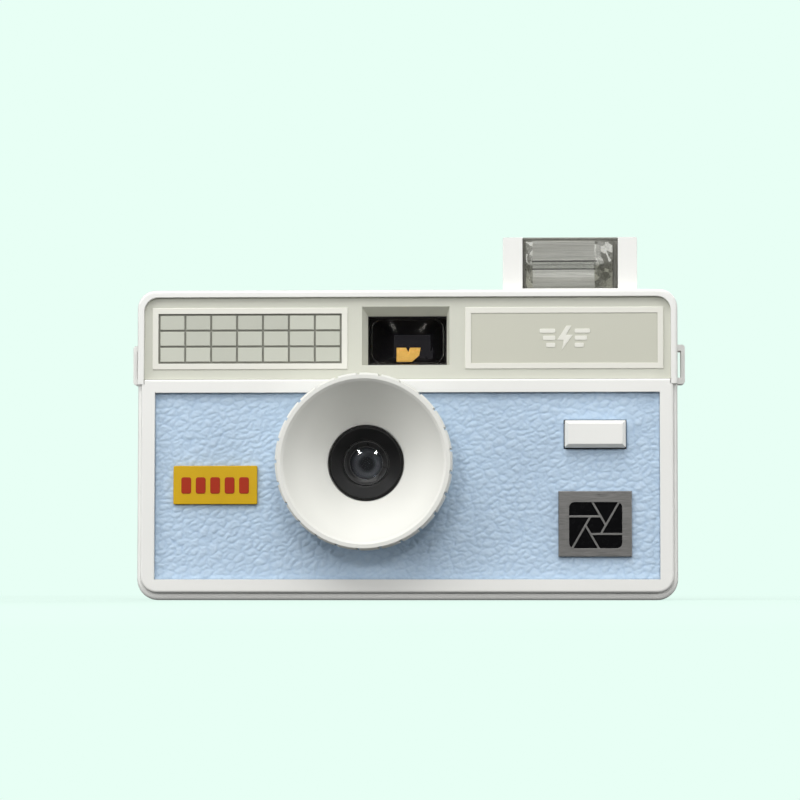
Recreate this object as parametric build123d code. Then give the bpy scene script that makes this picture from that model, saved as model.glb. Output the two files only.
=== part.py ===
"""Half-frame 35 mm film camera with a pop-up flash, as an assembly of separate pieces.

Units are millimetres. Seen from the front, +X is to the right, -Y faces the subject and +Z is up.
The origin is the centre of the camera's plan view, on the surface that it stands on.
Left and right in the names are as seen from the front.
"""

import os
from math import atan2, cos, degrees, hypot, pi, radians, sin

from build123d import *

# ---------------------------------------------------------------- driving dimensions
BODY_W = 117.6  # width of the two covers, without the strap lugs
BODY_H = 67.5  # height of the covers, without the raised flash
HALF_W = BODY_W / 2
FRONT_Y = -11.2  # front of the rims
REAR_Y = 20.0  # rear of the covers
WALL = 1.5
INNER_HALF_W = HALF_W - WALL
COVER_SEAM_Z = 46.9  # joint of front cover and top cover
DOOR_TOP_Z = 52.9
SIDE_SEAM_Y = 17.0  # joint of front cover and back door
SEAM_GAP = 0.2
TOP_CORNER_R = 4.0
BOTTOM_CORNER_R = 4.6

# front of the camera, in depth order
SHELL_FRONT_Y = -10.0  # behind the raised frame
LEATHER_FRONT_Y = -10.2
LEATHER_BACK_Y = -9.6
WALL_BACK_Y = -8.4  # inner face of the front walls
FASCIA_FRONT_Y = -10.2
FASCIA_BACK_Y = -9.45

# window of the front frame that holds the covering
FRAME_HALF_W = 57.9
FRAME_BOTTOM_Z = 1.6
FRAME_TOP_Z = 48.0
PANEL_HALF_W = 54.9
PANEL_BOTTOM_Z = 4.5
PANEL_TOP_Z = 45.1

# recess of the top cover that holds the fascia
RECESS_HALF_W = 57.35
RECESS_TOP_Z = 65.95
RECESS_CORNER_R = 3.1

# lens
LENS_X = -8.8
LENS_Z = 29.7  # also the height of the film's centre line
HOOD_R = 19.0
HOOD_FRONT_Y = -21.0
HOOD_BASE_R = 14.6
SKIRT_BACK_Y = -14.4
NOTCH_COUNT = 25
NOTCH_W = 0.7
NOTCH_DEPTH = 0.42
BEZEL_R = 8.1
BARREL_R = 5.6

# film path
FILM_Y = 16.0
GATE_W = 18.0  # a half frame is 18 x 24 mm
GATE_H = 24.0
CASSETTE_X = 43.4
CASSETTE_Y = 5.35
CASSETTE_R = 12.75  # chamber for a 25 mm cassette
CHAMBER_WALL = 0.8
CHAMBER_FLOOR_Z = 6.2
CHAMBER_TOP_Z = 53.0
FLOOR_T = 1.2
CEILING_T = 1.0
SPOOL_X = -43.0
SPOOL_Y = 7.0
SPOOL_CHAMBER_R = 11.0
SPOOL_CORE_R = 6.2
SPROCKET_X = -25.5
SPROCKET_Y = 9.8
SPROCKET_R = 6.05
SPROCKET_TEETH = 8
PERFORATION_ROW = 14.1  # perforation rows from the film's centre line

# advance wheel, frame counter and release
WHEEL_R = 14.0
WHEEL_Z = (56.0, 60.0)
WHEEL_TEETH = 72
DIAL_X = -16.0
DIAL_Y = 10.0
DIAL_R = 7.4
DIAL_Z = (62.4, 63.3)
DIAL_TEETH = 80
COUNTER_WINDOW_Y = 14.6
BUTTON_X = -27.5
BUTTON_Y = 1.0
BUTTON_TOP_Z = 68.2
BUTTON_R = 5.7
LEVER_X = -19.5
LEVER_Z = 47.0

# pop-up flash
FLASH_X = (20.9, 50.2)
FLASH_Y = (-8.1, 1.0)
FLASH_TOP_Z = 79.2  # raised
FLASH_BOTTOM_Z = 66.8
FLASH_WINDOW_X = (25.2, 46.0)
GUIDE_X = 24.5
GUIDE_Y = -3.5
GUIDE_FLOOR_Z = 30.5
FLASH_BUTTON_X = (34.3, 47.5)
FLASH_BUTTON_Z = (33.0, 38.9)
FLASH_BUTTON_FRONT_Y = -12.4

# viewfinder
FINDER_OUTER = (-9.8, 9.3, 51.1, 63.9)  # x0, x1, z0, z1 at the fascia
FINDER_INNER = (-8.6, 8.6, 51.15, 62.0)
FINDER_LENS = (-8.7, 8.7, 51.5, 61.8)
EYEPIECE = (-4.6, 4.6, 54.8, 60.4)

# bottom
CRANK_CUP_R = 10.4
HINGE_X = -57.2
HINGE_Y = 18.2
HINGE_R = 1.6
BATTERY_DOOR_X = (-26.8, 26.7)
BATTERY_DOOR_Y = (-8.2, 2.8)
BATTERY_HINGE_X = 25.9
BATTERY_HINGE_Z = 0.8


# ---------------------------------------------------------------- shape helpers
def block(x0, x1, y0, y1, z0, z1):
    """A box between two corners."""
    return Pos((x0 + x1) / 2, (y0 + y1) / 2, (z0 + z1) / 2) * Box(x1 - x0, y1 - y0, z1 - z0)


def upright(x, y, radius, z0, z1):
    """A cylinder along Z."""
    return Pos(x, y, (z0 + z1) / 2) * Cylinder(radius, z1 - z0)


def facing(x, z, radius, y0, y1):
    """A cylinder along Y."""
    return Pos(x, (y0 + y1) / 2, z) * Rot(90, 0, 0) * Cylinder(radius, y1 - y0)


def across(y, z, radius, x0, x1):
    """A cylinder along X."""
    return Pos((x0 + x1) / 2, y, z) * Rot(0, 90, 0) * Cylinder(radius, x1 - x0)


def front_slab(sketch, y0, y1):
    """A front-view outline (x, z) made solid between two depths."""
    return extrude(Plane.XZ.offset(-y1) * sketch, amount=y1 - y0)


def plan_slab(sketch, z0, z1):
    """A plan-view outline (x, y) made solid between two heights."""
    return extrude(Plane.XY.offset(z0) * sketch, amount=z1 - z0)


def rounded(x0, x1, z0, z1, radius):
    """A rectangle with round corners, between two corners of a view."""
    return Pos((x0 + x1) / 2, (z0 + z1) / 2) * RectangleRounded(x1 - x0, z1 - z0, radius)


def sharp(x0, x1, z0, z1):
    """A rectangle between two corners of a view."""
    return Pos((x0 + x1) / 2, (z0 + z1) / 2) * Rectangle(x1 - x0, z1 - z0)


def funnel(front, front_y, rear, rear_y):
    """A solid that runs from one front-view rectangle to another."""
    ends = [Plane.XZ.offset(-y) * sharp(*rect) for rect, y in ((front, front_y), (rear, rear_y))]
    return loft(Sketch() + ends)


def turned(points, x=0.0, z=0.0):
    """A solid of revolution about an axis along Y, from (radius, y) points."""
    outline = make_face(Polyline(*points, close=True))
    return Pos(x, 0, z) * revolve(outline, Axis.Y, 360)


def coil(x, y, radius, wire, z0, z1, turns):
    """A round-wire compression spring along Z, between two heights over its wire."""
    pitch = (z1 - z0 - 2 * wire) / turns
    path = Helix(pitch=pitch, height=pitch * turns, radius=radius)
    section = Plane(origin=path @ 0, z_dir=path % 0) * Circle(wire)
    return Pos(x, y, z0 + wire) * sweep(section, path=path)


def soft_front(solid, radius):
    """Rounds the outer edges of a solid's front face."""
    face = solid.faces().sort_by(Axis.Y)[0]
    return fillet(face.outer_wire().edges(), radius)


def ring_points(radius, count, start=0.0):
    """Evenly spaced (x, y) points on a circle."""
    angles = [radians(start) + 2 * pi * i / count for i in range(count)]
    return [(radius * cos(a), radius * sin(a)) for a in angles]


def toothed_disc(tip, root, count):
    """The outline of a finely knurled or toothed wheel."""
    points = []
    for i in range(count):
        for share, radius in ((0.0, root), (0.3, tip), (0.7, tip)):
            angle = 2 * pi * (i + share) / count
            points.append((radius * cos(angle), radius * sin(angle)))
    return make_face(Polyline(*points, close=True))


# ---------------------------------------------------------------- covers
SCREW_POSTS = [(-27.0, 18.0), (-27.0, 42.0), (17.0, 18.0), (17.0, 42.0)]
POST_BACK_Y = -4.45
COVER_KNUCKLES = [(13.15, 20.35), (29.65, 36.85)]
DOOR_KNUCKLES = [(2.0, 13.0), (20.5, 29.5), (37.0, DOOR_TOP_Z - 0.3)]
HOOD_SCREWS = [(LENS_X + dx, LENS_Z + dz) for dx, dz in ring_points(13.2, 3, 90)]


def front_cover():
    """The lower front shell: raised frame, front wall, sides and bottom."""
    body = rounded(-HALF_W, HALF_W, 0, BODY_H, BOTTOM_CORNER_R)
    shell = soft_front(front_slab(body, SHELL_FRONT_Y, SIDE_SEAM_Y), 0.9)
    frame_outline = rounded(-FRAME_HALF_W, FRAME_HALF_W, FRAME_BOTTOM_Z, BODY_H, 3.6)
    shell += soft_front(front_slab(frame_outline, FRONT_Y, SHELL_FRONT_Y + 0.5), 0.55)
    shell -= block(-HALF_W - 1, HALF_W + 1, FRONT_Y - 1, REAR_Y, COVER_SEAM_Z, BODY_H + 1)
    tongue_half = RECESS_HALF_W - 0.15
    tongue = block(-tongue_half, tongue_half, FRONT_Y, FASCIA_BACK_Y, COVER_SEAM_Z - 1, FRAME_TOP_Z)
    shell += fillet(tongue.edges().filter_by(Axis.X).sort_by(Axis.Z)[-2:].sort_by(Axis.Y)[0], 0.45)
    panel = sharp(-PANEL_HALF_W, PANEL_HALF_W, PANEL_BOTTOM_Z, PANEL_TOP_Z)
    shell -= front_slab(panel, FRONT_Y - 1, LEATHER_BACK_Y)
    shell -= block(-INNER_HALF_W, INNER_HALF_W, WALL_BACK_Y, SIDE_SEAM_Y + 1, WALL, COVER_SEAM_Z + 1)
    shell -= facing(LENS_X, LENS_Z, BARREL_R + 0.1, -12, -8)
    button = sharp(FLASH_BUTTON_X[0] - 0.2, FLASH_BUTTON_X[1] + 0.2,
                   FLASH_BUTTON_Z[0] - 0.2, FLASH_BUTTON_Z[1] + 0.2)
    shell -= front_slab(button, -12, -8)
    for x, z in HOOD_SCREWS:
        shell -= facing(x, z, 1.0, -12, -8)
    for x, z in SCREW_POSTS:
        shell += facing(x, z, 2.4, WALL_BACK_Y - 0.3, POST_BACK_Y) - facing(x, z, 1.0, -8.2, -4)
    shell = bottom_openings(shell)
    shell = side_openings(shell)
    return shell


def bottom_openings(shell):
    """The crank's cup, the rewind release's hole and the battery compartment."""
    shell += upright(CASSETTE_X, CASSETTE_Y, CRANK_CUP_R + 0.8, 0.5, 5.4)
    shell -= upright(CASSETTE_X, CASSETTE_Y, CRANK_CUP_R, -1, 4.6)
    shell -= upright(CASSETTE_X, CASSETTE_Y, 3.4, 4, 6)
    shell -= upright(SPROCKET_X, SPROCKET_Y, 2.3, -1, 2)
    x0, x1 = BATTERY_DOOR_X
    y0, y1 = BATTERY_DOOR_Y
    tray = block(x0 - 1.0, x1 + 1.1, WALL_BACK_Y - 0.3, y1 + 1.2, 1.2, 13.5)
    tray -= block(x0 - 0.2, x1 + 0.3, WALL_BACK_Y, y1 + 0.2, 1, 12.8)
    shell += tray
    shell -= block(x0 - 0.2, x1 + 0.3, y0 - 0.2, y1 + 0.2, -1, 2)
    shell -= facing(BATTERY_HINGE_X, BATTERY_HINGE_Z, 0.5, y0 - 0.7, y1 + 0.7)
    return shell


def side_openings(shell):
    """The door's hinge on one side, and the latch's track on the other."""
    shell -= block(-HALF_W - 1, -54.0, HINGE_Y - HINGE_R - 0.2, SIDE_SEAM_Y + 1, 1.9, COVER_SEAM_Z + 1)
    for z0, z1 in COVER_KNUCKLES:
        knuckle = upright(HINGE_X, HINGE_Y, HINGE_R, z0, z1)
        knuckle += block(-HALF_W, -57.5, 15.5, HINGE_Y, z0, z1)
        shell += knuckle - upright(HINGE_X, HINGE_Y, 0.65, z0 - 1, z1 + 1)
    shell -= block(HALF_W - 0.9, HALF_W + 1, 11.7, 16.1, 18.0, 32.0)
    shell -= block(INNER_HALF_W - 1, HALF_W + 1, 13.0, 15.2, 19.0, 31.0)
    return shell


LUG_Z = (47.3, 56.0)
LUG_Y = (-3.5, 0.5)
LUG_POCKET = 0.9
LUG_SLOT_Z = (48.7, 54.6)


def top_cover():
    """The upper shell: the rim around the fascia, the top plate, sides and rear wall."""
    body = rounded(-HALF_W, HALF_W, 0, BODY_H, TOP_CORNER_R)
    shell = soft_front(front_slab(body, FRONT_Y, REAR_Y), 0.7)
    rear = shell.faces().sort_by(Axis.Y)[-1]
    shell = fillet(rear.outer_wire().edges(), 1.6)
    shell -= block(-HALF_W - 1, HALF_W + 1, FRONT_Y - 1, REAR_Y + 1, -1, COVER_SEAM_Z)
    recess = rounded(-RECESS_HALF_W, RECESS_HALF_W, 40, RECESS_TOP_Z, RECESS_CORNER_R)
    shell -= front_slab(recess, FRONT_Y - 1, FASCIA_BACK_Y + 0.05)
    shell -= block(-INNER_HALF_W, INNER_HALF_W, WALL_BACK_Y, REAR_Y - 1.4, 40, BODY_H - WALL)
    hinge_y = HINGE_Y - HINGE_R - 0.2
    shell -= block(-HALF_W - 1, -54.0, hinge_y, REAR_Y + 1, 40, DOOR_TOP_Z + SEAM_GAP)
    shell -= block(-HALF_W - 1, HALF_W + 1, SIDE_SEAM_Y, REAR_Y + 1, 40, DOOR_TOP_Z + SEAM_GAP)
    x0, x1, z0, z1 = FINDER_OUTER
    shell -= block(x0 - 0.4, x1 + 0.4, -12, -8, z0 - 0.4, z1 + 0.4)
    shell -= block(FLASH_X[0] - 0.2, FLASH_X[1] + 0.2, FLASH_Y[0] - 0.2, FLASH_Y[1] + 0.2, 64, 70)
    shell -= upright(BUTTON_X, BUTTON_Y, BUTTON_R + 0.2, 64, 70)
    shell -= upright(DIAL_X, COUNTER_WINDOW_Y, 2.7, 64, 70)
    shell -= upright(DIAL_X, COUNTER_WINDOW_Y, 3.3, 66.7, 70)
    shell += upright(DIAL_X, DIAL_Y, 0.95, 61.2, BODY_H - 1) + upright(DIAL_X, DIAL_Y, 1.5, 60.9, 61.6)
    shell -= block(SPOOL_X - 9.2, SPOOL_X + 9.2, 18, 21, WHEEL_Z[0] - 0.4, WHEEL_Z[1] + 0.4)
    x0, x1, z0, z1 = EYEPIECE
    shell -= block(x0 - 0.8, x1 + 0.8, 18, 21, z0 - 0.8, z1 + 0.8)
    shell -= facing(16.0, 57.5, 1.7, 18, 21)
    for side in (-1, 1):
        for y0, y1, z0, z1 in ((*LUG_Y, *LUG_Z), (-6.5, 3.5, *LUG_SLOT_Z)):
            edges = sorted((side * (HALF_W - LUG_POCKET), side * (HALF_W + 1)))
            shell -= block(*edges, y0, y1, z0, z1)
    return shell


def strap_lug(side):
    """A loop for a cord, set in a shallow pocket of the top cover's side."""
    inner = side * (HALF_W - LUG_POCKET)
    outer = side * 60.75
    bar = side * 59.9
    lug = block(*sorted((inner, outer)), *LUG_Y, *LUG_Z)
    lug = fillet(lug.edges().filter_by(Axis.Y).sort_by(lambda e: abs(e.center().X))[-2:], 0.7)
    return lug - block(*sorted((inner - side, bar)), -6, 3, *LUG_SLOT_Z)


def back_door():
    """The hinged rear panel, with its own share of the hinge's knuckles."""
    outline = rounded(-HALF_W, HALF_W, 0.0, BODY_H, BOTTOM_CORNER_R) & sharp(-55.4, 60, 0, DOOR_TOP_Z)
    door = front_slab(outline, SIDE_SEAM_Y + SEAM_GAP, REAR_Y)
    rear = door.faces().sort_by(Axis.Y)[-1]
    round_edges = [e for e in rear.outer_wire().edges() if e.center().X > -55]
    round_edges = [e for e in round_edges if e.center().Z < DOOR_TOP_Z - 0.1]
    door = fillet(round_edges, 1.4)
    door -= block(-60, HALF_W - 1.4, 0, 18.4, 1.8, 60)
    for z0, z1 in DOOR_KNUCKLES:
        knuckle = upright(HINGE_X, HINGE_Y, HINGE_R, z0, z1)
        knuckle += block(HINGE_X, -54.0, HINGE_Y + 0.2, HINGE_Y + HINGE_R, z0, z1)
        door += knuckle - upright(HINGE_X, HINGE_Y, 0.65, z0 - 1, z1 + 1)
    for row in range(9):
        z = 12.0 + 3.0 * row
        door += front_slab(Pos(-40.0, z) * SlotOverall(18, 1.1), REAR_Y - 0.2, REAR_Y + 0.35)
    door += block(54.3, 55.5, 15.6, 18.6, 23.0, 27.0)
    return door


def door_hinge_pin():
    """The steel pin that the door turns on."""
    return upright(HINGE_X, HINGE_Y, 0.6, 2.2, DOOR_TOP_Z - 0.6)


def door_latch():
    """The sliding catch: a ribbed thumb plate outside, a hook inside."""
    plate = block(58.0, 58.7, 12.0, 15.8, 19.0, 28.0)
    for rib in range(5):
        plate += block(58.6, 58.95, 12.2, 15.6, 20.0 + 1.6 * rib, 20.8 + 1.6 * rib)
    neck = block(56.4, 58.1, 13.2, 15.0, 20.5, 27.5)
    hook = block(55.8, 56.9, 12.6, 16.2, 19.8, 29.4)
    return plate + neck + hook


# ---------------------------------------------------------------- fascia and covering
CELLS = (-54.3, -14.2, 51.5, 62.4)  # x0, x1, z0, z1 of the field of cells
CELL_COLUMNS = 7
CELL_ROWS = 3
CELL_GAP = 0.42
TITLE = (14.0, 54.5, 51.5, 62.4)
FRAME_BORDER = 1.3
PANEL_FRAME_Y = -10.42
POCKET_FLOOR_Y = -9.85


def fascia_panel():
    """The recessed front panel of the top cover, with the finder's funnel moulded in."""
    outline = rounded(-RECESS_HALF_W, RECESS_HALF_W, 40, RECESS_TOP_Z, RECESS_CORNER_R)
    outline &= sharp(-60, 60, FRAME_TOP_Z + 0.1, 70)
    panel = front_slab(outline, FASCIA_FRONT_Y, FASCIA_BACK_Y)
    x0, x1, z0, z1 = FINDER_OUTER
    panel += block(x0 - 0.25, x1 + 0.25, FASCIA_FRONT_Y, -7.6, z0 - 0.25, z1 + 0.25)
    panel -= funnel(FINDER_OUTER, FASCIA_FRONT_Y - 0.01, FINDER_INNER, -7.59)
    for x0, x1, z0, z1 in (CELLS, TITLE):
        panel -= block(x0, x1, FASCIA_FRONT_Y - 1, POCKET_FLOOR_Y, z0, z1)
    return panel


def cell_backing():
    """The dark sheet that shows between the cells."""
    x0, x1, z0, z1 = CELLS
    return block(x0, x1, POCKET_FLOOR_Y - 0.12, POCKET_FLOOR_Y, z0, z1)


def cell_tiles():
    """The grid of separate cells, as one group."""
    x0, x1, z0, z1 = CELLS
    pitch_x = (x1 - x0 - CELL_GAP) / CELL_COLUMNS
    pitch_z = (z1 - z0 - CELL_GAP) / CELL_ROWS
    tiles = []
    for column in range(CELL_COLUMNS):
        for row in range(CELL_ROWS):
            left = x0 + CELL_GAP + column * pitch_x
            low = z0 + CELL_GAP + row * pitch_z
            tile = block(left, left + pitch_x - CELL_GAP, -10.28, POCKET_FLOOR_Y - 0.12,
                         low, low + pitch_z - CELL_GAP)
            tiles.append(chamfer(tile.faces().sort_by(Axis.Y)[0].edges(), 0.08))
    return Compound(children=tiles)


def title_plate():
    """The plain plate of the right panel."""
    x0, x1, z0, z1 = TITLE
    return block(x0, x1, -10.3, POCKET_FLOOR_Y, z0, z1)


def panel_frames():
    """The two raised borders on the fascia, as one group."""
    frames = []
    for x0, x1, z0, z1 in (CELLS, TITLE):
        b = FRAME_BORDER
        frame = block(x0 - b, x1 + b, PANEL_FRAME_Y, FASCIA_FRONT_Y, z0 - b, z1 + b)
        frame = chamfer(frame.faces().sort_by(Axis.Y)[0].edges(), 0.12)
        frames.append(frame - block(x0, x1, -12, -8, z0, z1))
    return Compound(children=frames)


def leatherette():
    """The blue covering, cut out round the hood and the flash button."""
    outline = sharp(-PANEL_HALF_W, PANEL_HALF_W, PANEL_BOTTOM_Z, PANEL_TOP_Z)
    sheet = front_slab(outline, LEATHER_FRONT_Y, LEATHER_BACK_Y)
    sheet -= facing(LENS_X, LENS_Z, HOOD_BASE_R + 0.15, -12, -8)
    cut = sharp(FLASH_BUTTON_X[0] - 0.25, FLASH_BUTTON_X[1] + 0.25,
                FLASH_BUTTON_Z[0] - 0.25, FLASH_BUTTON_Z[1] + 0.25)
    return sheet - front_slab(cut, -12, -8)


BADGE_L = (-50.8, -32.5, 20.8, 29.2)


def badge_left():
    """The enamelled plate on the left."""
    plate = front_slab(rounded(*BADGE_L, 0.3), -10.9, LEATHER_FRONT_Y)
    return soft_front(plate, 0.15)


BADGE_R = (32.9, 48.8, 9.4, 23.6)
INSET = (35.2, 46.7, 11.2, 21.2)


def iris_lines(width, y0, y1):
    """Six bars laid as the edges of an iris diaphragm, inside the right badge's window."""
    x0, x1, z0, z1 = INSET
    centre_x, centre_z = (x0 + x1) / 2, (z0 + z1) / 2
    window = block(x0, x1, y0, y1, z0, z1)
    opening_r, reach = 2.2, 9.0
    bars = []
    for turn in range(6):
        start = radians(60 * turn)
        heading = radians(60 * turn + 120)
        corner = (opening_r * cos(start), opening_r * sin(start))
        mid = (corner[0] + reach / 2 * cos(heading), corner[1] + reach / 2 * sin(heading))
        bar = Rot(0, -degrees(heading), 0) * Box(reach, y1 - y0, width)
        bars.append((Pos(centre_x + mid[0], (y0 + y1) / 2, centre_z + mid[1]) * bar) & window)
    return bars


def badge_right():
    """The brushed metal plate, with a window crossed by the iris lines."""
    x0, x1, z0, z1 = BADGE_R
    plate = block(x0, x1, -11.0, LEATHER_FRONT_Y, z0, z1)
    plate = chamfer(plate.faces().sort_by(Axis.Y)[0].edges(), 0.15)
    plate -= front_slab(rounded(*INSET, 1.2), -12, -10.5)
    for bar in iris_lines(0.42, -10.95, -10.45):
        plate += bar
    return plate


def badge_inset():
    """The black enamel that fills the right badge between the iris lines."""
    fill = front_slab(rounded(*INSET, 1.2), -10.75, -10.5)
    for bar in iris_lines(0.46, -12, -10):
        fill -= bar
    return fill


# ---------------------------------------------------------------- hood and lens
def lens_hood():
    """The flared hood: a bowl with a rolled lip and a notched skirt."""
    bore_r, mouth_r = BARREL_R + 0.2, BEZEL_R + 0.2
    lip = [(17.2, -20.55), (17.75, HOOD_FRONT_Y), (18.6, HOOD_FRONT_Y), (HOOD_R, -20.5)]
    bowl = ThreePointArc((mouth_r, -11.5), (13.3, -15.6), lip[0])
    outer = Polyline(*lip, (HOOD_R, SKIRT_BACK_Y), (17.4, SKIRT_BACK_Y), (17.4, -17.9))
    behind = ThreePointArc((17.4, -17.9), (15.9, -15.9), (HOOD_BASE_R, SKIRT_BACK_Y))
    base = Polyline((HOOD_BASE_R, SKIRT_BACK_Y), (HOOD_BASE_R, LEATHER_BACK_Y), (bore_r, LEATHER_BACK_Y),
                    (bore_r, -10.15), (mouth_r, -10.15), (mouth_r, -11.5))
    section = make_face(Wire([*bowl.edges(), *outer.edges(), *behind.edges(), *base.edges()]))
    hood = revolve(section, Axis.Y, 360)
    notch = block(HOOD_R - NOTCH_DEPTH, HOOD_R + 1, HOOD_FRONT_Y - 1, SKIRT_BACK_Y + 1,
                  -NOTCH_W / 2, NOTCH_W / 2)
    for i in range(NOTCH_COUNT):
        hood -= Rot(0, 360 / NOTCH_COUNT * (i + 0.5), 0) * notch
    hood = Pos(LENS_X, 0, LENS_Z) * hood
    for x, z in HOOD_SCREWS:
        hood -= facing(x, z, 0.8, -11.6, -8)
    return hood


def lens_barrel():
    """The black lens mount, whose flange shows in the middle of the hood."""
    points = [(4.6, -10.3), (5.0, -10.3), (5.0, -11.45), (5.35, -11.6), (7.6, -11.9), (BEZEL_R, -11.6),
              (BEZEL_R, -10.25),
              (BARREL_R, -10.25), (BARREL_R, -7.0), (4.7, -7.0), (4.7, -8.2), (4.15, -8.2),
              (4.15, -8.8), (4.6, -8.8)]
    return turned(points, LENS_X, LENS_Z)


def lens_retainer():
    """The ring that holds the front element in the barrel."""
    points = [(3.5, -10.55), (3.6, -10.95), (4.2, -11.2), (4.75, -11.25), (4.95, -11.1), (4.95, -10.35)]
    return turned(points, LENS_X, LENS_Z)


def lens_element(radius, front_y, bulge, back_y):
    """A lens with a domed front and a flat back."""
    dome = ThreePointArc((0, front_y), (radius * 0.52, front_y + bulge * 0.27), (radius, front_y + bulge))
    rest = Polyline((radius, front_y + bulge), (radius, back_y), (0, back_y), (0, front_y))
    face = make_face(Wire([*dome.edges(), *rest.edges()]))
    return Pos(LENS_X, 0, LENS_Z) * revolve(face, Axis.Y, 360)


def aperture_stop():
    """The blackened washer that sets the lens opening."""
    return facing(LENS_X, LENS_Z, 4.65, -7.35, -7.1) - facing(LENS_X, LENS_Z, 1.15, -8, -7)


# ---------------------------------------------------------------- shutter and release
BLADE_PIVOT = (-2.3, 36.2)


def shutter_plate():
    """The steel plate behind the lens, with the blade's pin staked in."""
    plate = block(-19.8, 2.2, -5.2, -4.6, 20.0, 42.0) - facing(LENS_X, LENS_Z, 3.0, -6, -4)
    return plate + facing(*BLADE_PIVOT, 0.8, -7.0, -5.0)


def shutter_blade():
    """The single blade: a disc over the opening, an arm and a hub on the pin."""
    dx, dz = LENS_X - BLADE_PIVOT[0], LENS_Z - BLADE_PIVOT[1]
    arm = SlotCenterPoint((0, 0), (dx / 2, dz / 2), 2.4)
    outline = Pos(*BLADE_PIVOT) * (arm + Circle(1.9) + Pos(dx, dz) * Circle(3.4))
    return front_slab(outline, -5.75, -5.35) - facing(*BLADE_PIVOT, 0.86, -6, -5)


def blade_spring():
    """The hairpin spring that closes the blade, wound round its pin."""
    x, z = BLADE_PIVOT
    spring = facing(x, z, 1.45, -6.55, -5.9) - facing(x, z, 1.05, -7, -5)
    return spring + block(x + 1.1, x + 1.45, -6.4, -6.1, z, z + 4.5)


def release_lever():
    """The rocker between the shutter button and the blade."""
    left = (-27.6, 49.4)
    right = (-13.6, 38.6)
    outline = Pos(LEVER_X, LEVER_Z) * Circle(1.9)
    for x, z in (left, right):
        dx, dz = x - LEVER_X, z - LEVER_Z
        reach = hypot(dx, dz)
        bar = Pos(LEVER_X + dx / 2, LEVER_Z + dz / 2) * Rot(0, 0, degrees(atan2(dz, dx)))
        outline += bar * SlotOverall(reach + 2.0, 2.0)
    return front_slab(outline, -6.9, -6.1) - facing(LEVER_X, LEVER_Z, 0.86, -8, -5)


def shutter_button():
    """The round release: cap, retaining flange, stem and the foot that tips the lever."""
    cap = upright(BUTTON_X, BUTTON_Y, BUTTON_R, 65.4, BUTTON_TOP_Z)
    cap = fillet(cap.edges().sort_by(Axis.Z)[-1], 0.6)
    dish = Pos(BUTTON_X, BUTTON_Y, BUTTON_TOP_Z + 26.6) * Sphere(27.0)
    button = cap - dish
    button += upright(BUTTON_X, BUTTON_Y, BUTTON_R + 0.9, 65.0, 65.8)
    button += upright(BUTTON_X, BUTTON_Y, 1.5, 50.8, 65.4)
    return button + block(BUTTON_X - 1.0, BUTTON_X + 1.0, -6.9, BUTTON_Y, 50.7, 51.7)


# ---------------------------------------------------------------- chassis
def film_chassis():
    """The black centre moulding: mounting flange, light box, film gate and flash guide."""
    front = (LENS_X - 6.0, LENS_X + 6.0, LENS_Z - 6.0, LENS_Z + 6.0)
    rear = (LENS_X - 11.0, LENS_X + 11.0, LENS_Z - 14.0, LENS_Z + 14.0)
    frame = block(-30.0, 21.5, -4.4, -3.4, 15.0, 46.0)
    frame += funnel(front, -3.5, rear, 14.8)
    frame += block(-19.9, 28.9, 14.4, 15.6, CHAMBER_FLOOR_Z, CHAMBER_TOP_Z)
    for sign in (-1, 1):
        inner = LENS_Z + sign * 13.2
        outer = LENS_Z + sign * 18.2
        frame += block(-19.4, 28.4, 15.5, FILM_Y, inner - 0.6, inner + 0.6)
        frame += block(-19.4, 28.4, 15.5, FILM_Y + 0.35, outer - 0.5, outer + 0.5)
    frame += block(-19.9, 28.9, 4.2, 14.5, CHAMBER_FLOOR_Z, CHAMBER_FLOOR_Z + FLOOR_T)
    half_w, half_h = GATE_W / 2, GATE_H / 2
    gate = (LENS_X - half_w, LENS_X + half_w, LENS_Z - half_h, LENS_Z + half_h)
    mouth = (LENS_X - 4.6, LENS_X + 4.6, LENS_Z - 4.6, LENS_Z + 4.6)
    frame -= funnel(mouth, -3.6, gate, 14.9)
    frame -= front_slab(sharp(*gate), 14.8, 17)
    frame -= facing(LENS_X, LENS_Z, 4.0, -5, -3)
    frame += facing(LEVER_X, LEVER_Z, 0.8, -7.1, -3.6) + block(-22.5, -16.5, -4.4, -3.4, 45.5, 49.5)
    for x, z in SCREW_POSTS:
        frame -= facing(x, z, 1.05, -5, -3)
    guide = upright(GUIDE_X, GUIDE_Y, 3.2, GUIDE_FLOOR_Z - 1, 54.8)
    guide += block(21.0, GUIDE_X, -4.4, -3.4, 32.0, 46.0)
    return frame + guide - upright(GUIDE_X, GUIDE_Y, 2.15, GUIDE_FLOOR_Z, 56)


def cassette_chamber():
    """The well for the film cassette, open to the rear."""
    r, w = CASSETTE_R, CHAMBER_WALL
    rear_y = 15.6
    outer = Pos(CASSETTE_X, CASSETTE_Y) * Circle(r + w)
    outer += sharp(CASSETTE_X - r - w, CASSETTE_X + r + w, CASSETTE_Y, rear_y)
    inner = Pos(CASSETTE_X, CASSETTE_Y) * Circle(r)
    inner += sharp(CASSETTE_X - r, CASSETTE_X + r, CASSETTE_Y, rear_y + 1)
    well = plan_slab(outer, CHAMBER_FLOOR_Z, CHAMBER_TOP_Z)
    well -= plan_slab(inner, CHAMBER_FLOOR_Z + FLOOR_T, CHAMBER_TOP_Z - CEILING_T)
    well -= block(0, 60, rear_y, 30, 0, 60)
    well -= block(CASSETTE_X + 8.0, 60, 10.6, 20, 0, 60)
    well -= upright(CASSETTE_X, CASSETTE_Y, 5.0, 0, 10)
    hub_slot = upright(CASSETTE_X, CASSETTE_Y, 5.3, 50, 60)
    hub_slot += block(CASSETTE_X - 5.3, CASSETTE_X + 5.3, CASSETTE_Y, 20, 50, 60)
    return well - hub_slot


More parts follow.
